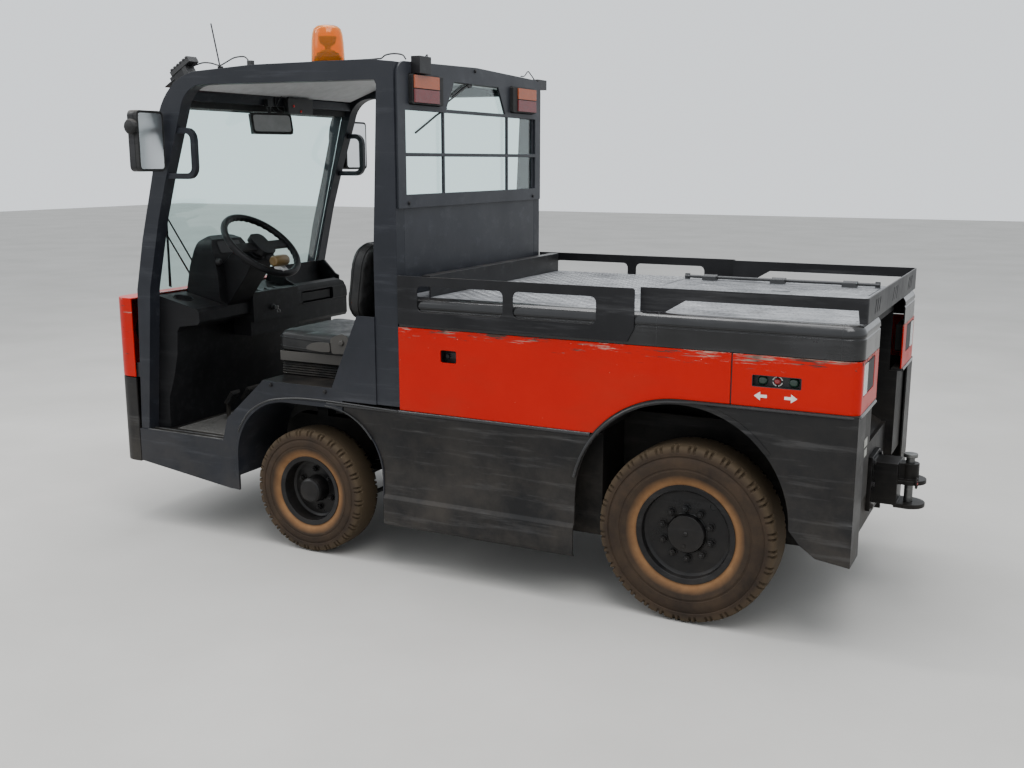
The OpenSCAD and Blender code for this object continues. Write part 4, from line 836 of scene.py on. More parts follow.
def foam_block(name, outline, thickness):
    mesh = bmesh.new()
    middle = Vector((sum(p[0] for p in outline) / len(outline),
                     sum(p[1] for p in outline) / len(outline)))
    rings = []
    for share, inset in ((-0.5, 16), (-0.42, 4), (-0.2, 0), (0.2, 0), (0.42, 5), (0.5, 20)):
        ring = []
        for p in outline:
            away = Vector(p) - middle
            p2 = middle + away * (1 - inset / away.length)
            ring.append(mesh.verts.new(Vector((p2.x, p2.y, share * thickness)) / 1000))
        rings.append(ring)
    for a, b in zip(rings, rings[1:]):
        for k in range(len(a)):
            n = (k + 1) % len(a)
            mesh.faces.new((a[k], a[n], b[n], b[k]))
    mesh.faces.new(rings[0][::-1])
    mesh.faces.new(rings[-1])
    bmesh.ops.recalc_face_normals(mesh, faces=mesh.faces)
    data = bpy.data.meshes.new(name)
    mesh.to_mesh(data)
    mesh.free()
    data.materials.append(finishes["seat_vinyl"].look)
    made = linked(name, data)
    squares = made.modifiers.new("remesh", "REMESH")
    squares.mode = "VOXEL"
    squares.voxel_size = SQUARE
    keep(made)
    return made


print("foam is cut into squares of", SQUARE * 1000, "mm")

# %% [markdown]
# ### Swelling the cover
# A cloth simulation with pressure blows the block up until the cover is tight, which gives
# the crown and the pulled-in corners of upholstery. Its frames are stepped here and the
# result is kept as a plain mesh, so nothing is left to simulate later.

# %% Swell a cushion
def inflate(made, cap):
    """Blows a block up; no point moves further than cap, in millimetres."""
    rest = [v.co.copy() for v in made.data.vertices]
    cloth = made.modifiers.new("cloth", "CLOTH")
    cloth.settings.use_pressure = True
    cloth.settings.uniform_pressure_force = 4
    cloth.settings.effector_weights.gravity = 0
    cloth.settings.quality = 6
    scene = bpy.context.scene
    for number in range(1, 21):
        scene.frame_set(number)
    keep(made)
    scene.frame_set(1)
    for v, home in zip(made.data.vertices, rest):
        move = v.co - home
        if move.length > cap / 1000:
            v.co = home + move.normalized() * cap / 1000


def swollen(node, outline, corner, thickness, place, tilt, cap):
    """outline is in the cushion's own plane, thickness across it, all in millimetres."""
    made = foam_block(node + "_cover", round_corners(outline, corner, 8), thickness)
    inflate(made, cap)
    for v in made.data.vertices:
        v.co = Euler((0, math.radians(tilt), 0)).to_matrix() @ v.co + at(*place)
    smooth = made.modifiers.new("smooth", "SUBSURF")
    smooth.levels = smooth.render_levels = 1
    for face in made.data.polygons:
        face.use_smooth = True
    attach(made, "body")
    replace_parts(made, node)
    print(node, "has", len(made.data.vertices), "points")
    return made


CUSHION = ((1685, 280, 881), -2)
BACKREST = ((1479, 280, 1159), -98)
cushion = swollen("seat_cushion", [(-222, -232), (222, -226), (222, 226), (-222, 232)], 46, 84,
                  *CUSHION, cap=9)
backrest = swollen("seat_backrest", [(-170, -232), (165, -226), (165, 226), (-170, 232)], 112,
                   76, *BACKREST, cap=8)

# %% [markdown]
# ## Lamps
# The lamp solids of the frame are the black housings. The lenses lie in them: orange over
# red behind the roof, white in the rear corners, clear domes in the nose. Beside each white
# lens lies a black ribbed plate that stands for the lamp's dark recess, as painted shade. The
# ribs of a lens are drawn in its outline, which is then taken upright like a curtain.

# %% Ribbed lenses
def ribbed_lens(name, finish, x, y0, y1, z0, z1, side, rib=8, thick=5):
    """A lens that faces the rear; its ribs stand upright."""
    shape = Shape()
    count = max(2, round((y1 - y0) / rib))
    step = (y1 - y0) / count
    outline = [(y0, 0)]
    for k in range(count):
        outline += [(y0 + (k + 0.15) * step, thick), (y0 + (k + 0.5) * step, thick + 1.2),
                    (y0 + (k + 0.85) * step, thick)]
    outline.append((y1, 0))
    shape.loft([[(x - d, side * y, z) for y, d in outline] for z in (z0, z0 + 1.5, z1 - 1.5, z1)])
    shape.piece(name, finish, "lamp_lens", smooth=50)


for side, word in SIDES:
    ribbed_lens("lens_high_orange_" + word, "lens_orange", 1157, 352, 540, 1930, 1978, side)
    ribbed_lens("lens_high_red_" + word, "lens_red", 1157, 352, 540, 1876, 1926, side)
    ribbed_lens("lens_corner_white_" + word, "lens_white", -583, 527, 592, 896, 1000, side, 9, 2)
    # painted shade: a black ribbed plate where the corner lamp's recess lies in shade
    ribbed_lens("lens_corner_dark_" + word, "cable_black", -583, 396, 524, 896, 1000, side, 14, 1)
    middle = (0, side * 430, 880)
    dome = Shape()
    dome.turned([(66, 2722), (60, 2727), (40, 2732), (20, 2734), (1, 2734.6)], middle,
                (1, 0, 0), 40)
    dome.piece("headlamp_glass_" + word, "lens_white", "lamp_lens")
    ring = Shape()
    ring.turned([(76, 2716), (76, 2732), (72, 2735), (67, 2733), (67, 2716)], middle,
                (1, 0, 0), 48)
    ring.piece("headlamp_ring_" + word, "black_paint", "black_paint", edge=0.5)
print("lenses in ten places")

# %% [markdown]
# ## Beacon
# A clear amber dome stands on the roof, and through it show the black foot and the bright
# works. The dome is turned with an outer and an inner wall, because a closed shape without
# the inner one would bend the light as a solid lump of glass does.

# %% Beacon
BEACON = (1540, 560, 2034)
UP = (0, 0, 1)
foot = Shape()
foot.turned([(61, 0), (61, 5), (54, 8), (54, 24), (44, 30), (44, 38), (20, 40)], BEACON, UP, 48)
foot.piece("beacon_foot", "rubber_seal", "moulding", edge=0.6)
dome = Shape()
dome.turned([(65, 3), (66, 6), (65, 40), (63, 80), (60, 108), (54, 128), (42, 139), (24, 143),
             (1, 144.5), (1, 140), (23, 139), (40, 135), (51, 125), (56, 107), (59, 80),
             (61, 40), (62, 8), (62, 5)], BEACON, UP, 56)
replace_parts(dome.piece("beacon_dome", "amber", "amber_lens", smooth=40), "beacon")
works = Shape()
works.turned([(30, 38), (30, 46), (12, 50), (12, 62), (30, 74), (36, 98), (33, 100), (27, 78),
              (8, 66)], BEACON, UP, 32)
works.turned([(8, 60), (10, 74), (9, 90), (3, 96)], BEACON, UP, 16)
works.piece("beacon_works", "dull_steel", "steel")
print("beacon reaches", BEACON[2] + 144.5, "mm above the floor")

# %% [markdown]
# ## Fasteners
# Panels, guards and fenders hang on screws, and a machine without them looks moulded in one
# piece. One function sets hexagon heads on washers in a row of places, facing outwards.

# %% Bolt heads
def bolts(name, places, out, across=13):
    shape = Shape()
    for place in places:
        shape.turned([(0.75 * across, -0.5), (0.75 * across, 1.2), (0.68 * across, 1.8)],
                     place, out, 20)
        shape.turned([(0.56 * across, 1.5), (0.56 * across, 0.5 * across),
                      (0.46 * across, 0.6 * across)], place, out, 6)
    shape.piece(name, "black_paint", "black_paint", smooth=25)
    print(name, "has", len(places))


bolts("bolts_guard", [(1175, 562, 1492), (1175, -548, 1489), (1175, 18, 2026)], (-1, 0, 0), 11)
bolts("bolts_hitch", [(-556, y, z) for y in (-76, 76) for z in (368, 455, 542)], (-1, 0, 0), 18)
for side, word in SIDES:
    bolts("bolts_fender_" + word, [(1825, side * 648, 724), (1545, side * 648, 720)],
          (0, side, 0))

# %% [markdown]
# ## Creep switches in the rear corners
# A driver who couples a trailer moves the tractor from the ground: green buttons creep it
# forward and back, the red one stops it. They sit in a black plate in the recess of the red
# corner, over two white arrows. Buttons are turned. The arrows could be painted by a mask, but
# thin plates on the enamel keep a crisp edge in a close view.

# %% Switch plates, buttons and arrows
BUTTONS = [
    # use, x, finish, radius
    ("forward", -259, "button_green", 17),
    ("back", -365, "button_green", 17),
    ("stop", -309, "button_red", 11),
]
BUTTON_Z = 926
for side, word in SIDES:
    plate = Shape()
    plate.block((-394, side * 616.5, 905), (-226, side * 619, 947))
    for x0, x1, z0, z1 in ((-394, -391.5, 905, 947), (-228.5, -226, 905, 947),
                           (-392, -228, 905, 907.5), (-392, -228, 944.5, 947)):
        plate.block((x0, side * 618, z0), (x1, side * 642.5, z1))
    plate.piece("switch_plate_" + word, "cable_black", "black_paint", edge=0.4)
    for use, x, finish, radius in BUTTONS:
        button = Shape()
        button.turned([(radius, 0), (radius, 5), (0.9 * radius, 9), (0.6 * radius, 12),
                       (0.5, 13)], (x, side * 619, BUTTON_Z), (0, side, 0), 32)
        button.piece("button_" + use + "_" + word, finish, "lamp_lens", smooth=60)
    ring = Shape()
    for quarter in range(4):
        ring.tube([(-309 + x, side * 621, BUTTON_Z + z)
                   for x, z in around(16, 7, 90 * quarter + 12, 11)], 2.1, 8)
    ring.piece("stop_ring_" + word, "white_paint", "lamp_lens")
    arrows = Shape()
    for tip, tail in ((-236, -280), (-382, -339)):
        neck = tip - math.copysign(21, tip - tail)
        outline = [(tip, 875), (neck, 890), (neck, 880), (tail, 880), (tail, 870), (neck, 870),
                   (neck, 860)]
        arrows.plate([(x, side * 642.9, z) for x, z in outline], (0, side * 0.6, 0))
    arrows.piece("arrows_" + word, "white_paint", "red_paint", smooth=10)
print("buttons on both sides:", len(SIDES) * len(BUTTONS))

# %% [markdown]
# ## Latches and joints
# Behind the square hole of each long red panel lies its latch in a small black cup, and
# behind the seam of the two red panels a black strip stands for the shade in the gap, as
# painted shade. The moulded shoulder comes in lengths, and where two meet there is a dark
# joint. It is drawn as a narrow strip that follows the moulding's section, because a line of
# paint would not catch the light.

# %% Latches and joints
SHOULDER_SECTION = [(43, 1018), (43, 1084), (40, 1086), (40, 1090), (43, 1092)]
SHOULDER_SECTION += [(7 + y, 1097 + z) for y, z in around(36, 10, 0, 10)] + [(0, DECK_TOP)]
for side, word in SIDES:
    latch = Shape()
    latch.block((918, side * 597, 880), (1000, side * 600, 943))
    for x0, x1, z0, z1 in ((918, 921, 880, 943), (997, 1000, 880, 943), (921, 997, 880, 883),
                           (921, 997, 940, 943)):
        latch.block((x0, side * 599, z0), (x1, side * 640.5, z1))
    latch.plate([(930, side * 600, 897), (985, side * 600, 897), (985, side * 600, 921),
                 (930, side * 600, 925)], (0, side * 7, 0))
    latch.rod((978, side * 606, 909), (978, side * 616, 909), 8)
    latch.piece("latch_" + word, "cable_black", "black_paint", edge=0.8)
    # painted shade: a black strip behind the seam of the red panels, where the gap lies in shade
    shade_block = Shape()
    shade_block.block((-172, side * 634, 838), (-138, side * 638.5, 1013))
    shade_block.piece("seam_backing_" + word, "cable_black", "black_paint", edge=0.5)
    joints = Shape()
    for x in (117, -517):
        joints.loft([[(x + w, side * (600.5 + y), z + 0.4 * (y < 40)) for y, z in SHOULDER_SECTION]
                     + [(x + w, side * (598.5 + y), z - 1.5) for y, z in SHOULDER_SECTION[::-1]]
                     for w in (-0.9, 0.9)])
    joints.piece("shoulder_joints_" + word, "cable_black", "moulding")
print("latches and joints set")

# %% [markdown]
# ## Wipers
# The windshield has a wiper on two parallel rods, which keep its blade upright, and the rear
# window a plain swinging one. Both are rods and tubes laid on the plane of their glass. The
# windshield leans, so its places are given by width and height and worked out by a function.

# %% Wipers
OUT_OF_GLASS = (0.966, 0, 0.259)


def on_windshield(y, z, lift):
    """A place on the sloping glass, lifted off it to the front."""
    x = 2516 - 0.2684 * (z - 1070)
    return (x + OUT_OF_GLASS[0] * lift, y, z + OUT_OF_GLASS[2] * lift)


front_wiper = Shape()
for (y0, z0), (y1, z1) in (((252, 1084), (576, 1420)), ((313, 1084), (565, 1346))):
    front_wiper.rod(on_windshield(y0, z0, 12), on_windshield(y1, z1, 12), 4.5, 3.5, 10)
    front_wiper.turned([(13, -12), (13, 4), (9, 9), (5, 10)], on_windshield(y0, z0, 8),
                       OUT_OF_GLASS, 20)
front_wiper.tube([on_windshield(486 + 12 * k, 1090 + 44 * k, 11 - 0.6 * k * (8 - k) / 4)
                  for k in range(9)], 4, 8)
front_wiper.rod(on_windshield(484, 1088, 4), on_windshield(584, 1444, 4), 3.2, 3.2, 8)
front_wiper.rod(on_windshield(562, 1340, 12), on_windshield(580, 1426, 12), 5, 5, 8)
front_wiper.piece("wiper_front", "cable_black", "black_paint")
rear_wiper = Shape()
rear_wiper.rod((1188, 40, 1976), (1188, 292, 1862), 4.6, 3, 10)
rear_wiper.rod((1188, 60, 1982), (1188, 284, 1880), 2.2, 2.2, 8)
rear_wiper.block((1186, 276, 1850), (1190, 330, 1880))
rear_wiper.tube([(1188, 240, 1866), (1187, 324, 1834), (1187, 404, 1798), (1188, 484, 1762)],
                4.2, 8)
rear_wiper.turned([(20, 0), (20, 12), (12, 18), (12, 60), (1, 60)], (1187, 40, 1976), (1, 0, 0))
rear_wiper.piece("wiper_rear", "cable_black", "black_paint", edge=0.5)
print("two wipers")

# %% [markdown]
# ## Mirrors
# A mirror is a bright plate sunk in a black bowl. The outer ones are wedges: the outer edge
# stands further to the rear, which turns the glass to the driver without turning the bowl.
# The one inside lies slanted as a whole, so it is drawn upright and laid over by `placed`.

# %% Mirrors
MIRROR_SLANT = 0.11


def mirror_plate(name, finish, slot, side, corners, radius, proud, edge):
    """A wedge on the mirror's bowl; proud is how far it stands out."""
    outline = round_corners(corners, radius)
    shape = Shape()
    shape.loft([[(2331, side * y, z) for y, z in outline],
                [(2329 - proud - MIRROR_SLANT * (y - 661), side * y, z) for y, z in outline]])
    shape.piece(name, finish, slot, edge=edge)


for side, word in SIDES:
    mirror_plate("mirror_rim_" + word, "rubber_seal", "moulding", side,
                 [(661, 1611), (829, 1611), (829, 1859), (661, 1859)], 22, 0, 2)
    mirror_plate("mirror_glass_" + word, "mirror_glass", "clear_glass", side,
                 [(671, 1621), (819, 1621), (819, 1849), (671, 1849)], 16, 1, 0.3)
clamp = Shape()
clamp.turned([(22, 0), (30, 4), (32, 12), (32, 22), (26, 29), (12, 32), (1, 32)],
             (2329, 829, 1792), (0, 1, 0), 12)
clamp.piece("mirror_clamp_left", "rubber_seal", "moulding", edge=1)
inside = placed((2215, 90, 1822), (-20, "Z"), (12, "Y"))
glass = Shape(inside)
glass.plate([(-11.5, y, z) for y, z in
             round_corners([(-97, -38), (97, -38), (97, 38), (-97, 38)], 14)], (-2, 0, 0))
# its grey glass is a painted reflection
glass.piece("mirror_glass_inside", "cabin_mirror", "clear_glass", edge=0.4)
bowl = Shape(inside)
bowl.tube([(-11, y, z) for y, z in
           round_corners([(-103, -44), (103, -44), (103, 44), (-103, 44)], 18)], 5, 8,
          closed=True)
bowl.piece("mirror_rim_inside", "rubber_seal", "moulding")
print("mirrors: two outside, one inside")

# %% [markdown] ## The driver's display and the roof lining Over the windshield hang a small
# box with two red lights and the wires that feed it, and a pale lining and a rubber seal
# close the roof.

# %% Display box, its wires and the lining of the roof
STEPS_BETWEEN = 6


def smooth_path(points):
    """Rounds a row of places into a curve that passes through all of them."""
    points = [Vector(p) for p in points]
    points = [2 * points[0] - points[1]] + points + [2 * points[-1] - points[-2]]
    path = []
    for a, b, c, d in zip(points, points[1:], points[2:], points[3:]):
        for k in range(STEPS_BETWEEN):
            t = k / STEPS_BETWEEN
            path.append(0.5 * ((2 * b) + (c - a) * t + (2 * a - 5 * b + 4 * c - d) * t ** 2
                               + (3 * b - a - 3 * c + d) * t ** 3))
    return path + [points[-2]]


display = Shape()
corners = [(-222, 1872), (-30, 1872), (-30, 1947), (-222, 1947)]
display.plate([(2206, y, z) for y, z in round_corners(corners, 14)], (26, 0, 0))
display.rod((2226, -60, 1940), (2246, -60, 1976), 7)
display.piece("display_box", "cable_black", "moulding", edge=2)
lights = Shape()
for y, z in ((-72, 1909), (-126, 1886)):
    lights.turned([(6, 0), (6, 2), (3, 4), (0.5, 4.4)], (2206, y, z), (-1, 0, 0), 20)
lights.piece("display_lights", "led_red", "lamp_lens")
wires = Shape()
for path in ([(2228, -30, 1905), (2224, -8, 1884), (2226, 20, 1896), (2232, 34, 1930),
              (2238, 20, 1968)],
             [(2228, -34, 1890), (2222, 6, 1872), (2224, 52, 1884), (2228, 80, 1908),
              (2236, 92, 1936)],
             [(2236, 92, 1936), (2226, 108, 1908), (2224, 96, 1880), (2222, 92, 1862)],
             [(2236, -6, 1985), (2226, -12, 1962), (2226, 6, 1938), (2234, 14, 1915)]):
    wires.tube(smooth_path(path), 3, 8)
wires.piece("display_wires", "cable_black", "moulding")
lining = Shape()
lining.plate([(1262, -574, 2015), (2046, -574, 2015), (2232, -574, 1949), (2234, -574, 1953),
              (2048, -574, 2020), (1262, -574, 2020)], (0, 1148, 0))
lining.piece("roof_lining", "roof_lining", "grey_paint", edge=1)
header = Shape()
header.block((2266, -572, 1878), (2290, 572, 1912))
header.block((2288, -572, 1890), (2296, 572, 1908))
header.piece("windshield_seal_top", "rubber_seal", "grey_paint", edge=3)
print("cab roof furnished")

# %% [markdown]
# ## Steering wheel
# The rim's grip has finger waves on its under side. A ring of turned sections whose radius
# swells and sinks makes them. The worn barrel of the turning knob lies across the rim, and
# both turn with the wheel.

# %% Grip, turning knob and clasp
WHEEL_TOP = placed((2160, 280, 1262), (-41, "Y"))
SECTIONS_PER_WAVE = 6
grip = Shape(WHEEL_TOP)
rings = []
for k, (x, y) in enumerate(around(1, 36 * SECTIONS_PER_WAVE)):
    wave = 1.5 * math.cos(2 * math.pi * k / SECTIONS_PER_WAVE)
    ring = []
    for i in range(14):
        a = 2 * math.pi * i / 14
        thick = 15.8 + wave * max(0, -math.cos(a - 0.6))
        r = 185 + thick * math.cos(a)
        ring.append((r * x, r * y, 20 + thick * math.sin(a)))
    rings.append(ring)
grip.loft(rings, closed=True)
grip.piece("wheel_grip", "dash_moulding", "moulding", "wheel_of_steering", smooth=60)
knob = Shape(WHEEL_TOP)
knob.turned([(17, 0), (22, 3), (25, 12), (26, 40), (26, 74), (24, 90), (19, 95), (1, 96)],
            (-132, 72, 52), (0, -1, 0), 28)
knob.piece("turning_knob", "knob_olive", "moulding", "wheel_of_steering", edge=0.6, smooth=50)
clasp = Shape(WHEEL_TOP)
clasp.block((-186, 6, 12), (-134, 40, 44))
clasp.piece("knob_clasp", "steel", "moulding", "wheel_of_steering", edge=3)
print("steering wheel gripped, in", len(rings), "sections")

# %% [markdown]
# ## Dashboard
# The moulded dashboard already has its pod, bin and shoulder. What is added is what is
# screwed or pressed into it: instrument glass, a turning knob, rockers, the key, the rim of
# the cup hole and the bead round the drawer. Knobs are turned, rockers are blocks with a
# slanted top, and rim and bead are thin closed tubes half sunk in the moulding.

# %% Dashboard fittings
fittings = Shape()
fittings.turned([(16, -4), (16, 3), (12, 5), (12, 14), (9, 17), (1, 17)], (2312, 386, 1204),
                (-0.984, 0, 0.176), 24)
for k in range(4):
    y = 150 - 62 * k
    fittings.block((2288, y, 1043), (2332, y + 34, 1046))
    fittings.plate([(2292, y + 5, 1046), (2328, y + 5, 1046), (2328, y + 5, 1053),
                    (2310, y + 5, 1048)], (0, 24, 0))
fittings.turned([(15, 0), (15, 3), (11, 5), (11, 12), (1, 12)], (2277, 55, 961), (-1, 0, 0), 24)
fittings.piece("dash_fittings", "cable_black", "moulding", edge=0.8)
key = Shape()
key.block((2246, 53.5, 952), (2266, 56.5, 970))
key.tube([(2244 + x, 55, 944 + z) for x, z in around(9, 12, step=29.8)], 1.3, 6, closed=True)
key.piece("key", "steel", "steel", edge=0.6)
instruments = Shape()
foot = Vector((2322, 0, 1240)) + Vector((-0.913, 0, 0.409)) * 0.5
slope = Vector((30, 0, 67)).normalized()
outline = round_corners([(205, 0), (355, 0), (355, 56), (205, 56)], 10)
instruments.plate([foot + slope * v + Vector((0, y, 0)) for y, v in outline], (-1.8, 0, 0.8))
instruments.piece("instrument_glass", "cable_black", "clear_glass", edge=0.5)
beads = Shape()
beads.tube([(2425 + x, 503 + y, 1019.5 + 0.2178 * (122 + x)) for x, y in around(43, 40)], 2.6,
           8, closed=True)
drawer = round_corners([(-459, 946), (-194, 946), (-194, 1010), (-459, 1010)], 15)
beads.tube([(2296, y, z) for y, z in drawer], 3.2, 8, closed=True)
beads.piece("dash_beads", "dash_moulding", "moulding")
print("dashboard fitted")

# %% [markdown]
# ## Floor mat and pedals
# The mat is rubber with ribs across, grey with dust from shoes. The ribs are geometry,
# because the low light from the door picks out every one. The pedals belong to the frame, and
# each gets a ribbed rubber pad that leans with it.

# %% Mat and pedals
mat = Shape()
mat.block((2086, -572, 449.5), (2436, 572, 453))
for k in range(24):
    mat.block((2092 + 14 * k, -566, 452.5), (2099 + 14 * k, 566, 455))
mat.piece("floor_mat", "floor_mat", "moulding")
pedals = Shape()
for y, width in ((210, 90), (340, 60)):
    pedals.turn = placed((2332, y, 540), (-35, "Y"))
    pedals.block((-12, 3 - width / 2, 3), (-7, width / 2 - 3, 67))
    for k in range(6):
        pedals.block((-14, 7 - width / 2, 8 + 10 * k), (-11, width / 2 - 7, 13 + 10 * k))
pedals.piece("pedal_pads", "rubber_seal", "moulding", edge=0.6)
print("mat and pedals laid")

# %% [markdown]
# ## Seat frame
# Under the cushion show the dusty suspension plate, a bellows of rubber folds, the tilt lever
# and the hinge plate of the backrest. The bellows is one loft through thirteen rings, of
# which every second one is wider.

# %% Suspension, bellows, lever
band = Shape()
band.block((1482, 494, 803), (1887, 498.5, 845))
band.block((1482, 61.5, 803), (1887, 66, 845))
band.block((1884.5, 62, 803), (1889, 498, 845))
band.piece("seat_band", "suspension_tan", "chassis_paint", edge=1.2)
bellows = Shape()
rings = []
for k in range(13):
    g = 10 if k % 2 else 0
    corners = [(1476 - g, 82 - g), (1890 + g, 82 - g), (1890 + g, 478 + g), (1476 - g, 478 + g)]
    rings.append([(x, y, 740 + 5.2 * k) for x, y in round_corners(corners, 30)])
bellows.loft(rings)
bellows.piece("seat_bellows", "rubber_seal", "moulding", smooth=20)
lever = Shape()
outline = [(1600, 862), (1650, 860), (1700, 863), (1728, 867), (1724, 878), (1700, 894),
           (1660, 901), (1604, 902)]
lever.plate([(x, 521, z) for x, z in round_corners(outline, 12)], (0, 7, 0))
hinge = [(1596, 855), (1602, 920), (1578, 932), (1540, 946), (1508, 930), (1512, 860)]
lever.plate([(x, 520.5, z) for x, z in round_corners(hinge, 14)], (0, 5, 0))
lever.turned([(13, 0), (13, 5), (9, 8), (1, 8)], (1543, 525, 905), (0, 1, 0), 6)
lever.piece("seat_lever", "suspension_tan", "chassis_paint", edge=1.5)
print("seat frame built")

# %% [markdown]
# ### Piping
# Piping closes the seams of the two covers. Nobody can tell beforehand where the swollen
# vinyl ends up, so a path is drawn a little outside it and each of its places is moved to the
# nearest spot of the cover. The tube then lies half in the vinyl, as sewn piping does.

# %% Piping on the seams
def piping(name, cover, path):
    skin = BVHTree.FromPolygons([v.co for v in cover.data.vertices],
                                [list(face.vertices) for face in cover.data.polygons])
    places = []
    for p in path:
        near = skin.find_nearest(at(*p))[0]
        places.append(((near.x - rear_axle_x) * 1000, near.y * 1000, near.z * 1000))
    shape = Shape()
    shape.tube(places, 3.2, 8, closed=True)
    shape.piece(name, "seat_vinyl", "seat_cover")


def seam(place, tilt, reach, across, corner, rise):
    """A path round a cushion, at some rise over its middle plane."""
    turn = Euler((0, math.radians(tilt), 0)).to_matrix()
    outline = [(-reach, -across), (reach, -across), (reach, across), (-reach, across)]
    return [Vector(place) + turn @ Vector((p[0], p[1], rise))
            for p in round_corners(outline, corner, 8)]


for rise, cushion_edge, backrest_edge in ((24, "top", "back"), (-26, "low", "front")):
    piping("piping_cushion_" + cushion_edge, cushion, seam(*CUSHION, 240, 250, 56, rise))
    piping("piping_backrest_" + backrest_edge, backrest, seam(*BACKREST, 190, 250, 120, rise))
print("piping on four seams")

# %% [markdown]
# ## Cables on the roof
# Cables run in loose loops over the roof to the beacon, the camera and the sensor box. They
# are leads clipped to the roof at short distances, so they are modelled as fixed curves. A
# table holds the places of each, read from the picture, and a loop draws them.

# %% Cables
CABLES = [
    # name, radius, places
    ("beacon", 3.0, [(1478, 560, 2036), (1400, 562, 2037), (1314, 560, 2041), (1290, 560, 2042),
                     (1270, 560, 2053), (1233, 560, 2057), (1194, 560, 2051),
                     (1178, 560, 2034)]),
    ("camera", 3.0, [(2214, 600, 2040), (2190, 583, 2052), (2156, 583, 2057),
                     (2116, 583, 2053), (2084, 572, 2044), (2046, 583, 2051),
                     (1996, 583, 2070), (1947, 583, 2073), (1927, 583, 2063),
                     (1916, 583, 2044)]),
    ("sensor_right", 2.6, [(1185, -440, 2036), (1183, -474, 2040), (1183, -510, 2062),
                           (1186, -548, 2050), (1190, -590, 2032), (1200, -628, 2020),
                           (1212, -652, 2022)]),
    ("sensor_left", 2.6, [(1150, 452, 2040), (1160, 430, 2058), (1178, 410, 2060),
                          (1196, 396, 2040)]),
]
for name, radius, places in CABLES:
    cable = Shape()
    cable.tube(smooth_path(places), radius, 8)
    cable.piece("cable_" + name, "cable_black", "moulding")
plug = Shape()
plug.block((1898, 573, 2034), (1922, 593, 2056))
plug.piece("cable_plug", "cable_black", "moulding", edge=2)
print("cables:", len(CABLES))

# %% [markdown]
# ## Camera body on the roof
# The camera over the windshield looks ahead and a little down, so its body is drawn level and
# laid over. It is a case on a foot, with cooling ribs, a thin plate in front and a short
# turned barrel for the lens.

# %% Camera body
case = Shape(placed((2130, 603, 1765), (30, "Y")))
case.block((-62, -27, 252), (-38, 27, 292))
case.block((-94, -29, 287), (24, 29, 308))
for k in range(6):
    case.block((-92 + 19 * k, -31, 306), (-80 + 19 * k, 31, 314))
case.block((-88, -27, 306), (18, 27, 311))
case.block((20, -29, 270), (80, 29, 274))
case.turned([(15, 0), (15, 8), (11, 10), (1, 10)], (24, 0, 300), (1, 0, 0), 20)
case.piece("camera_body", "cable_black", "moulding", edge=1)
print("camera body on its foot")

# %% [markdown]
# ## Rolled lips of the fenders
# The sheet over each wheel ends in a rolled lip that catches the light, and behind the rear
# wheel the same lip runs on under the red panel and round the corner. A tube swept along the
# arch is the simplest way to draw a rolled edge. Two steel strips guard the door sill, and two
# black blocks behind the gap beside the nose stand for the shade in it, as painted shade.

# %% Lips and door sills
REAR_ARCH = (25, 418, 408)
FRONT_ARCH = (1545, 385, 276)


def arch(centre_x, centre_z, radius, y, count, first, step):
    return [(centre_x + x, y, centre_z + z) for x, z in around(radius, count, first, step)]


for side, word in SIDES:
    rear = arch(*REAR_ARCH, side * 647, 14, 12, 6)
    rear += [(x, side * 647, 829) for x in (-20, -200, -380, -545)]
    rear += [(-553 - out, side * (616 + along), 829) for along, out in around(31, 5, 18, 18)]
    rear += [(-585, side * 560, 829), (-585, side * 330, 829)]
    lip = Shape()
    lip.tube(rear, 6, 10)
    lip.piece("lip_rear_" + word, "shoulder", "grey_paint")
    front = [(2014, 500), (1991, 540), (1948, 594), (1881, 638), (1804, 664), (1679, 680),
             (1558, 683), (1440, 681), (1325, 678), (1190, 674)]
    lip = Shape()
    lip.tube(smooth_path([(x, side * 650, z) for x, z in front]), 4.5, 10)
    lip.tube(arch(*FRONT_ARCH, side * 649, 12, 90, 5), 4, 10)
    lip.tube([(1540, side * 643, 671), (950, side * 643, 671), (362, side * 643, 671)], 8, 12)
    lip.piece("lip_front_" + word, "shoulder", "grey_paint")
    sill = Shape()
    for y in (604, 640):
        sill.tube([(2100, side * y, 451), (2550, side * y, 451)], 3.5, 8)
    sill.piece("door_sill_" + word, "dull_steel", "steel")
    # painted shade: black blocks behind the gap beside the nose, where it lies in shade
    shadow = Shape()
    shadow.block((2570, side * 590, 690), (2599, side * 637, 755))
    shadow.block((2598, side * 560, 680), (2660, side * 606, 740))
    shadow.piece("nose_gap_backing_" + word, "cable_black", "grey_paint", edge=1)
print("lips over all four wheels, sills at both doors")

# %% [markdown]
# ## Coupling
# The pin hangs on a short lever with a red end, and a plain ring lets a cable pull it from
# the cab. They hang at the guide and stay with the body, because only the pin lifts. Two small
# blank plates lie on the dark sheet to the left of the coupling.

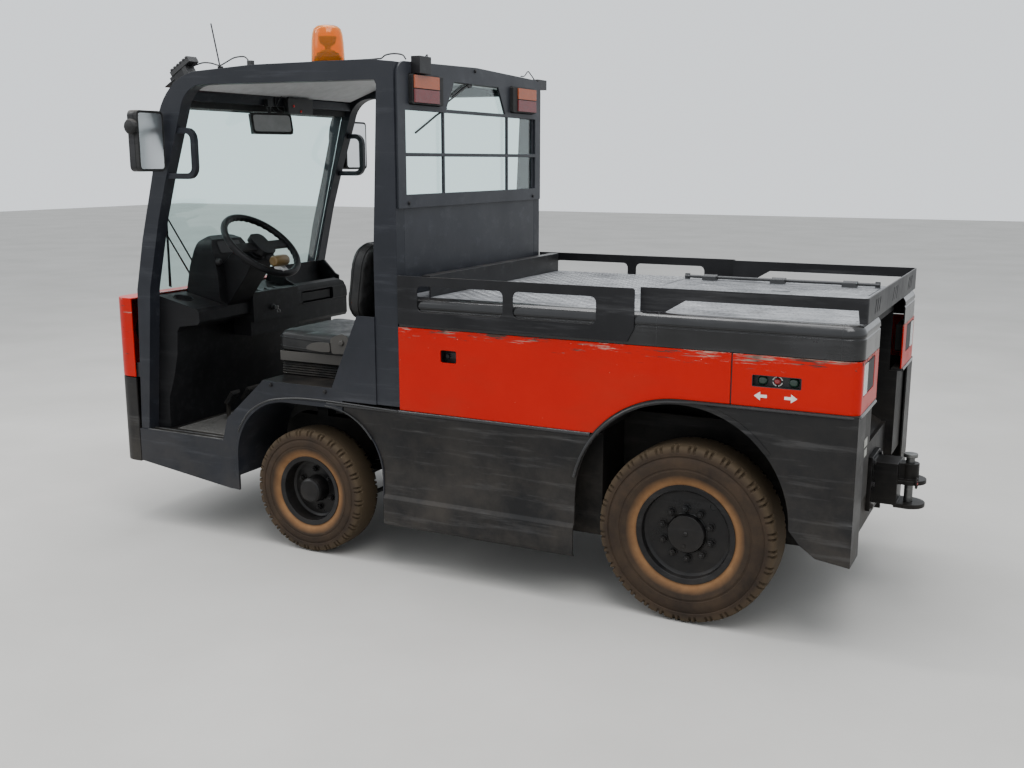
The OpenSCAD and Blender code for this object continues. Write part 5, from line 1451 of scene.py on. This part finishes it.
# %% Ring and handle of the coupling
pull = Shape()
pull.tube([(-712, 44 + y, 470 + z) for y, z in around(18, 28)], 4, 10, closed=True)
pull.piece("pull_ring", "coupling_paint", "steel")
tip = Shape()
tip.turned([(7, 0), (9, 3), (9, 9), (6, 12), (1, 12)], (-706, 44, 470), (-1, 0, 0), 24)
tip.piece("pull_tip", "button_red", "lamp_lens", edge=0.5)
labels = Shape()
for x, y0, y1, z0, z1 in ((-586.2, 452, 512, 700, 728), (-586, 452, 500, 664, 690)):
    labels.block((x, y0, z0), (x + 1.2, y1, z1))
labels.piece("blank_labels", "plate_blank", "grey_paint")
print("coupling finished")

# %% [markdown]
# ## Floor and light
# A pale floor and large soft lamps, as in a photo studio. The main lamp hangs high on the
# camera's side, a second one fills in from the front, one stands over the deck, and a long
# narrow strip draws a bright line along the edges. The sky is a plain pale grey.

# %% Floor and lamps
bpy.ops.mesh.primitive_plane_add(size=60, location=(0, 0, 0))
floor = bpy.context.object
floor.name = "floor"
concrete = Finish("pale_floor", (0.42, 0.41, 0.39), 0.75)
concrete.paint(concrete.blend(concrete.ramp(concrete.noise(0.9, detail=9), 0.3, 0.7),
                              (0.38, 0.37, 0.35), (0.45, 0.44, 0.42)))
floor.data.materials.append(concrete.look)

sky = bpy.data.worlds.new("sky")
sky.use_nodes = True
sky.node_tree.nodes["Background"].inputs["Color"].default_value = (0.92, 0.96, 1.0, 1)
sky.node_tree.nodes["Background"].inputs["Strength"].default_value = 1.25
bpy.context.scene.world = sky

LAMPS = [
    # name, place, points at, width, length, power
    ("key", (-2.5, 3.0, 7.0), (0, 0, 0.9), 4.0, 4.0, 320),
    ("front", (5.0, 4.0, 4.5), (0.6, 0, 0.8), 3.0, 3.0, 60),
    ("top", (0.5, -1.0, 7.5), (0, 0, 1), 5.0, 5.0, 400),
    ("strip", (3.4, 1.5, 6.0), (0.2, 0.65, 1.1), 0.5, 6.5, 170),
]
for name, place, target, width, length, power in LAMPS:
    light = bpy.data.lights.new(name, "AREA")
    light.shape = "RECTANGLE"
    light.size = width
    light.size_y = length
    light.energy = power
    lamp = linked(name, light)
    lamp.location = place
    lamp.rotation_euler = aimed(Vector(target) - Vector(place))
print("lamps:", len(LAMPS))

# %% [markdown] ## The end
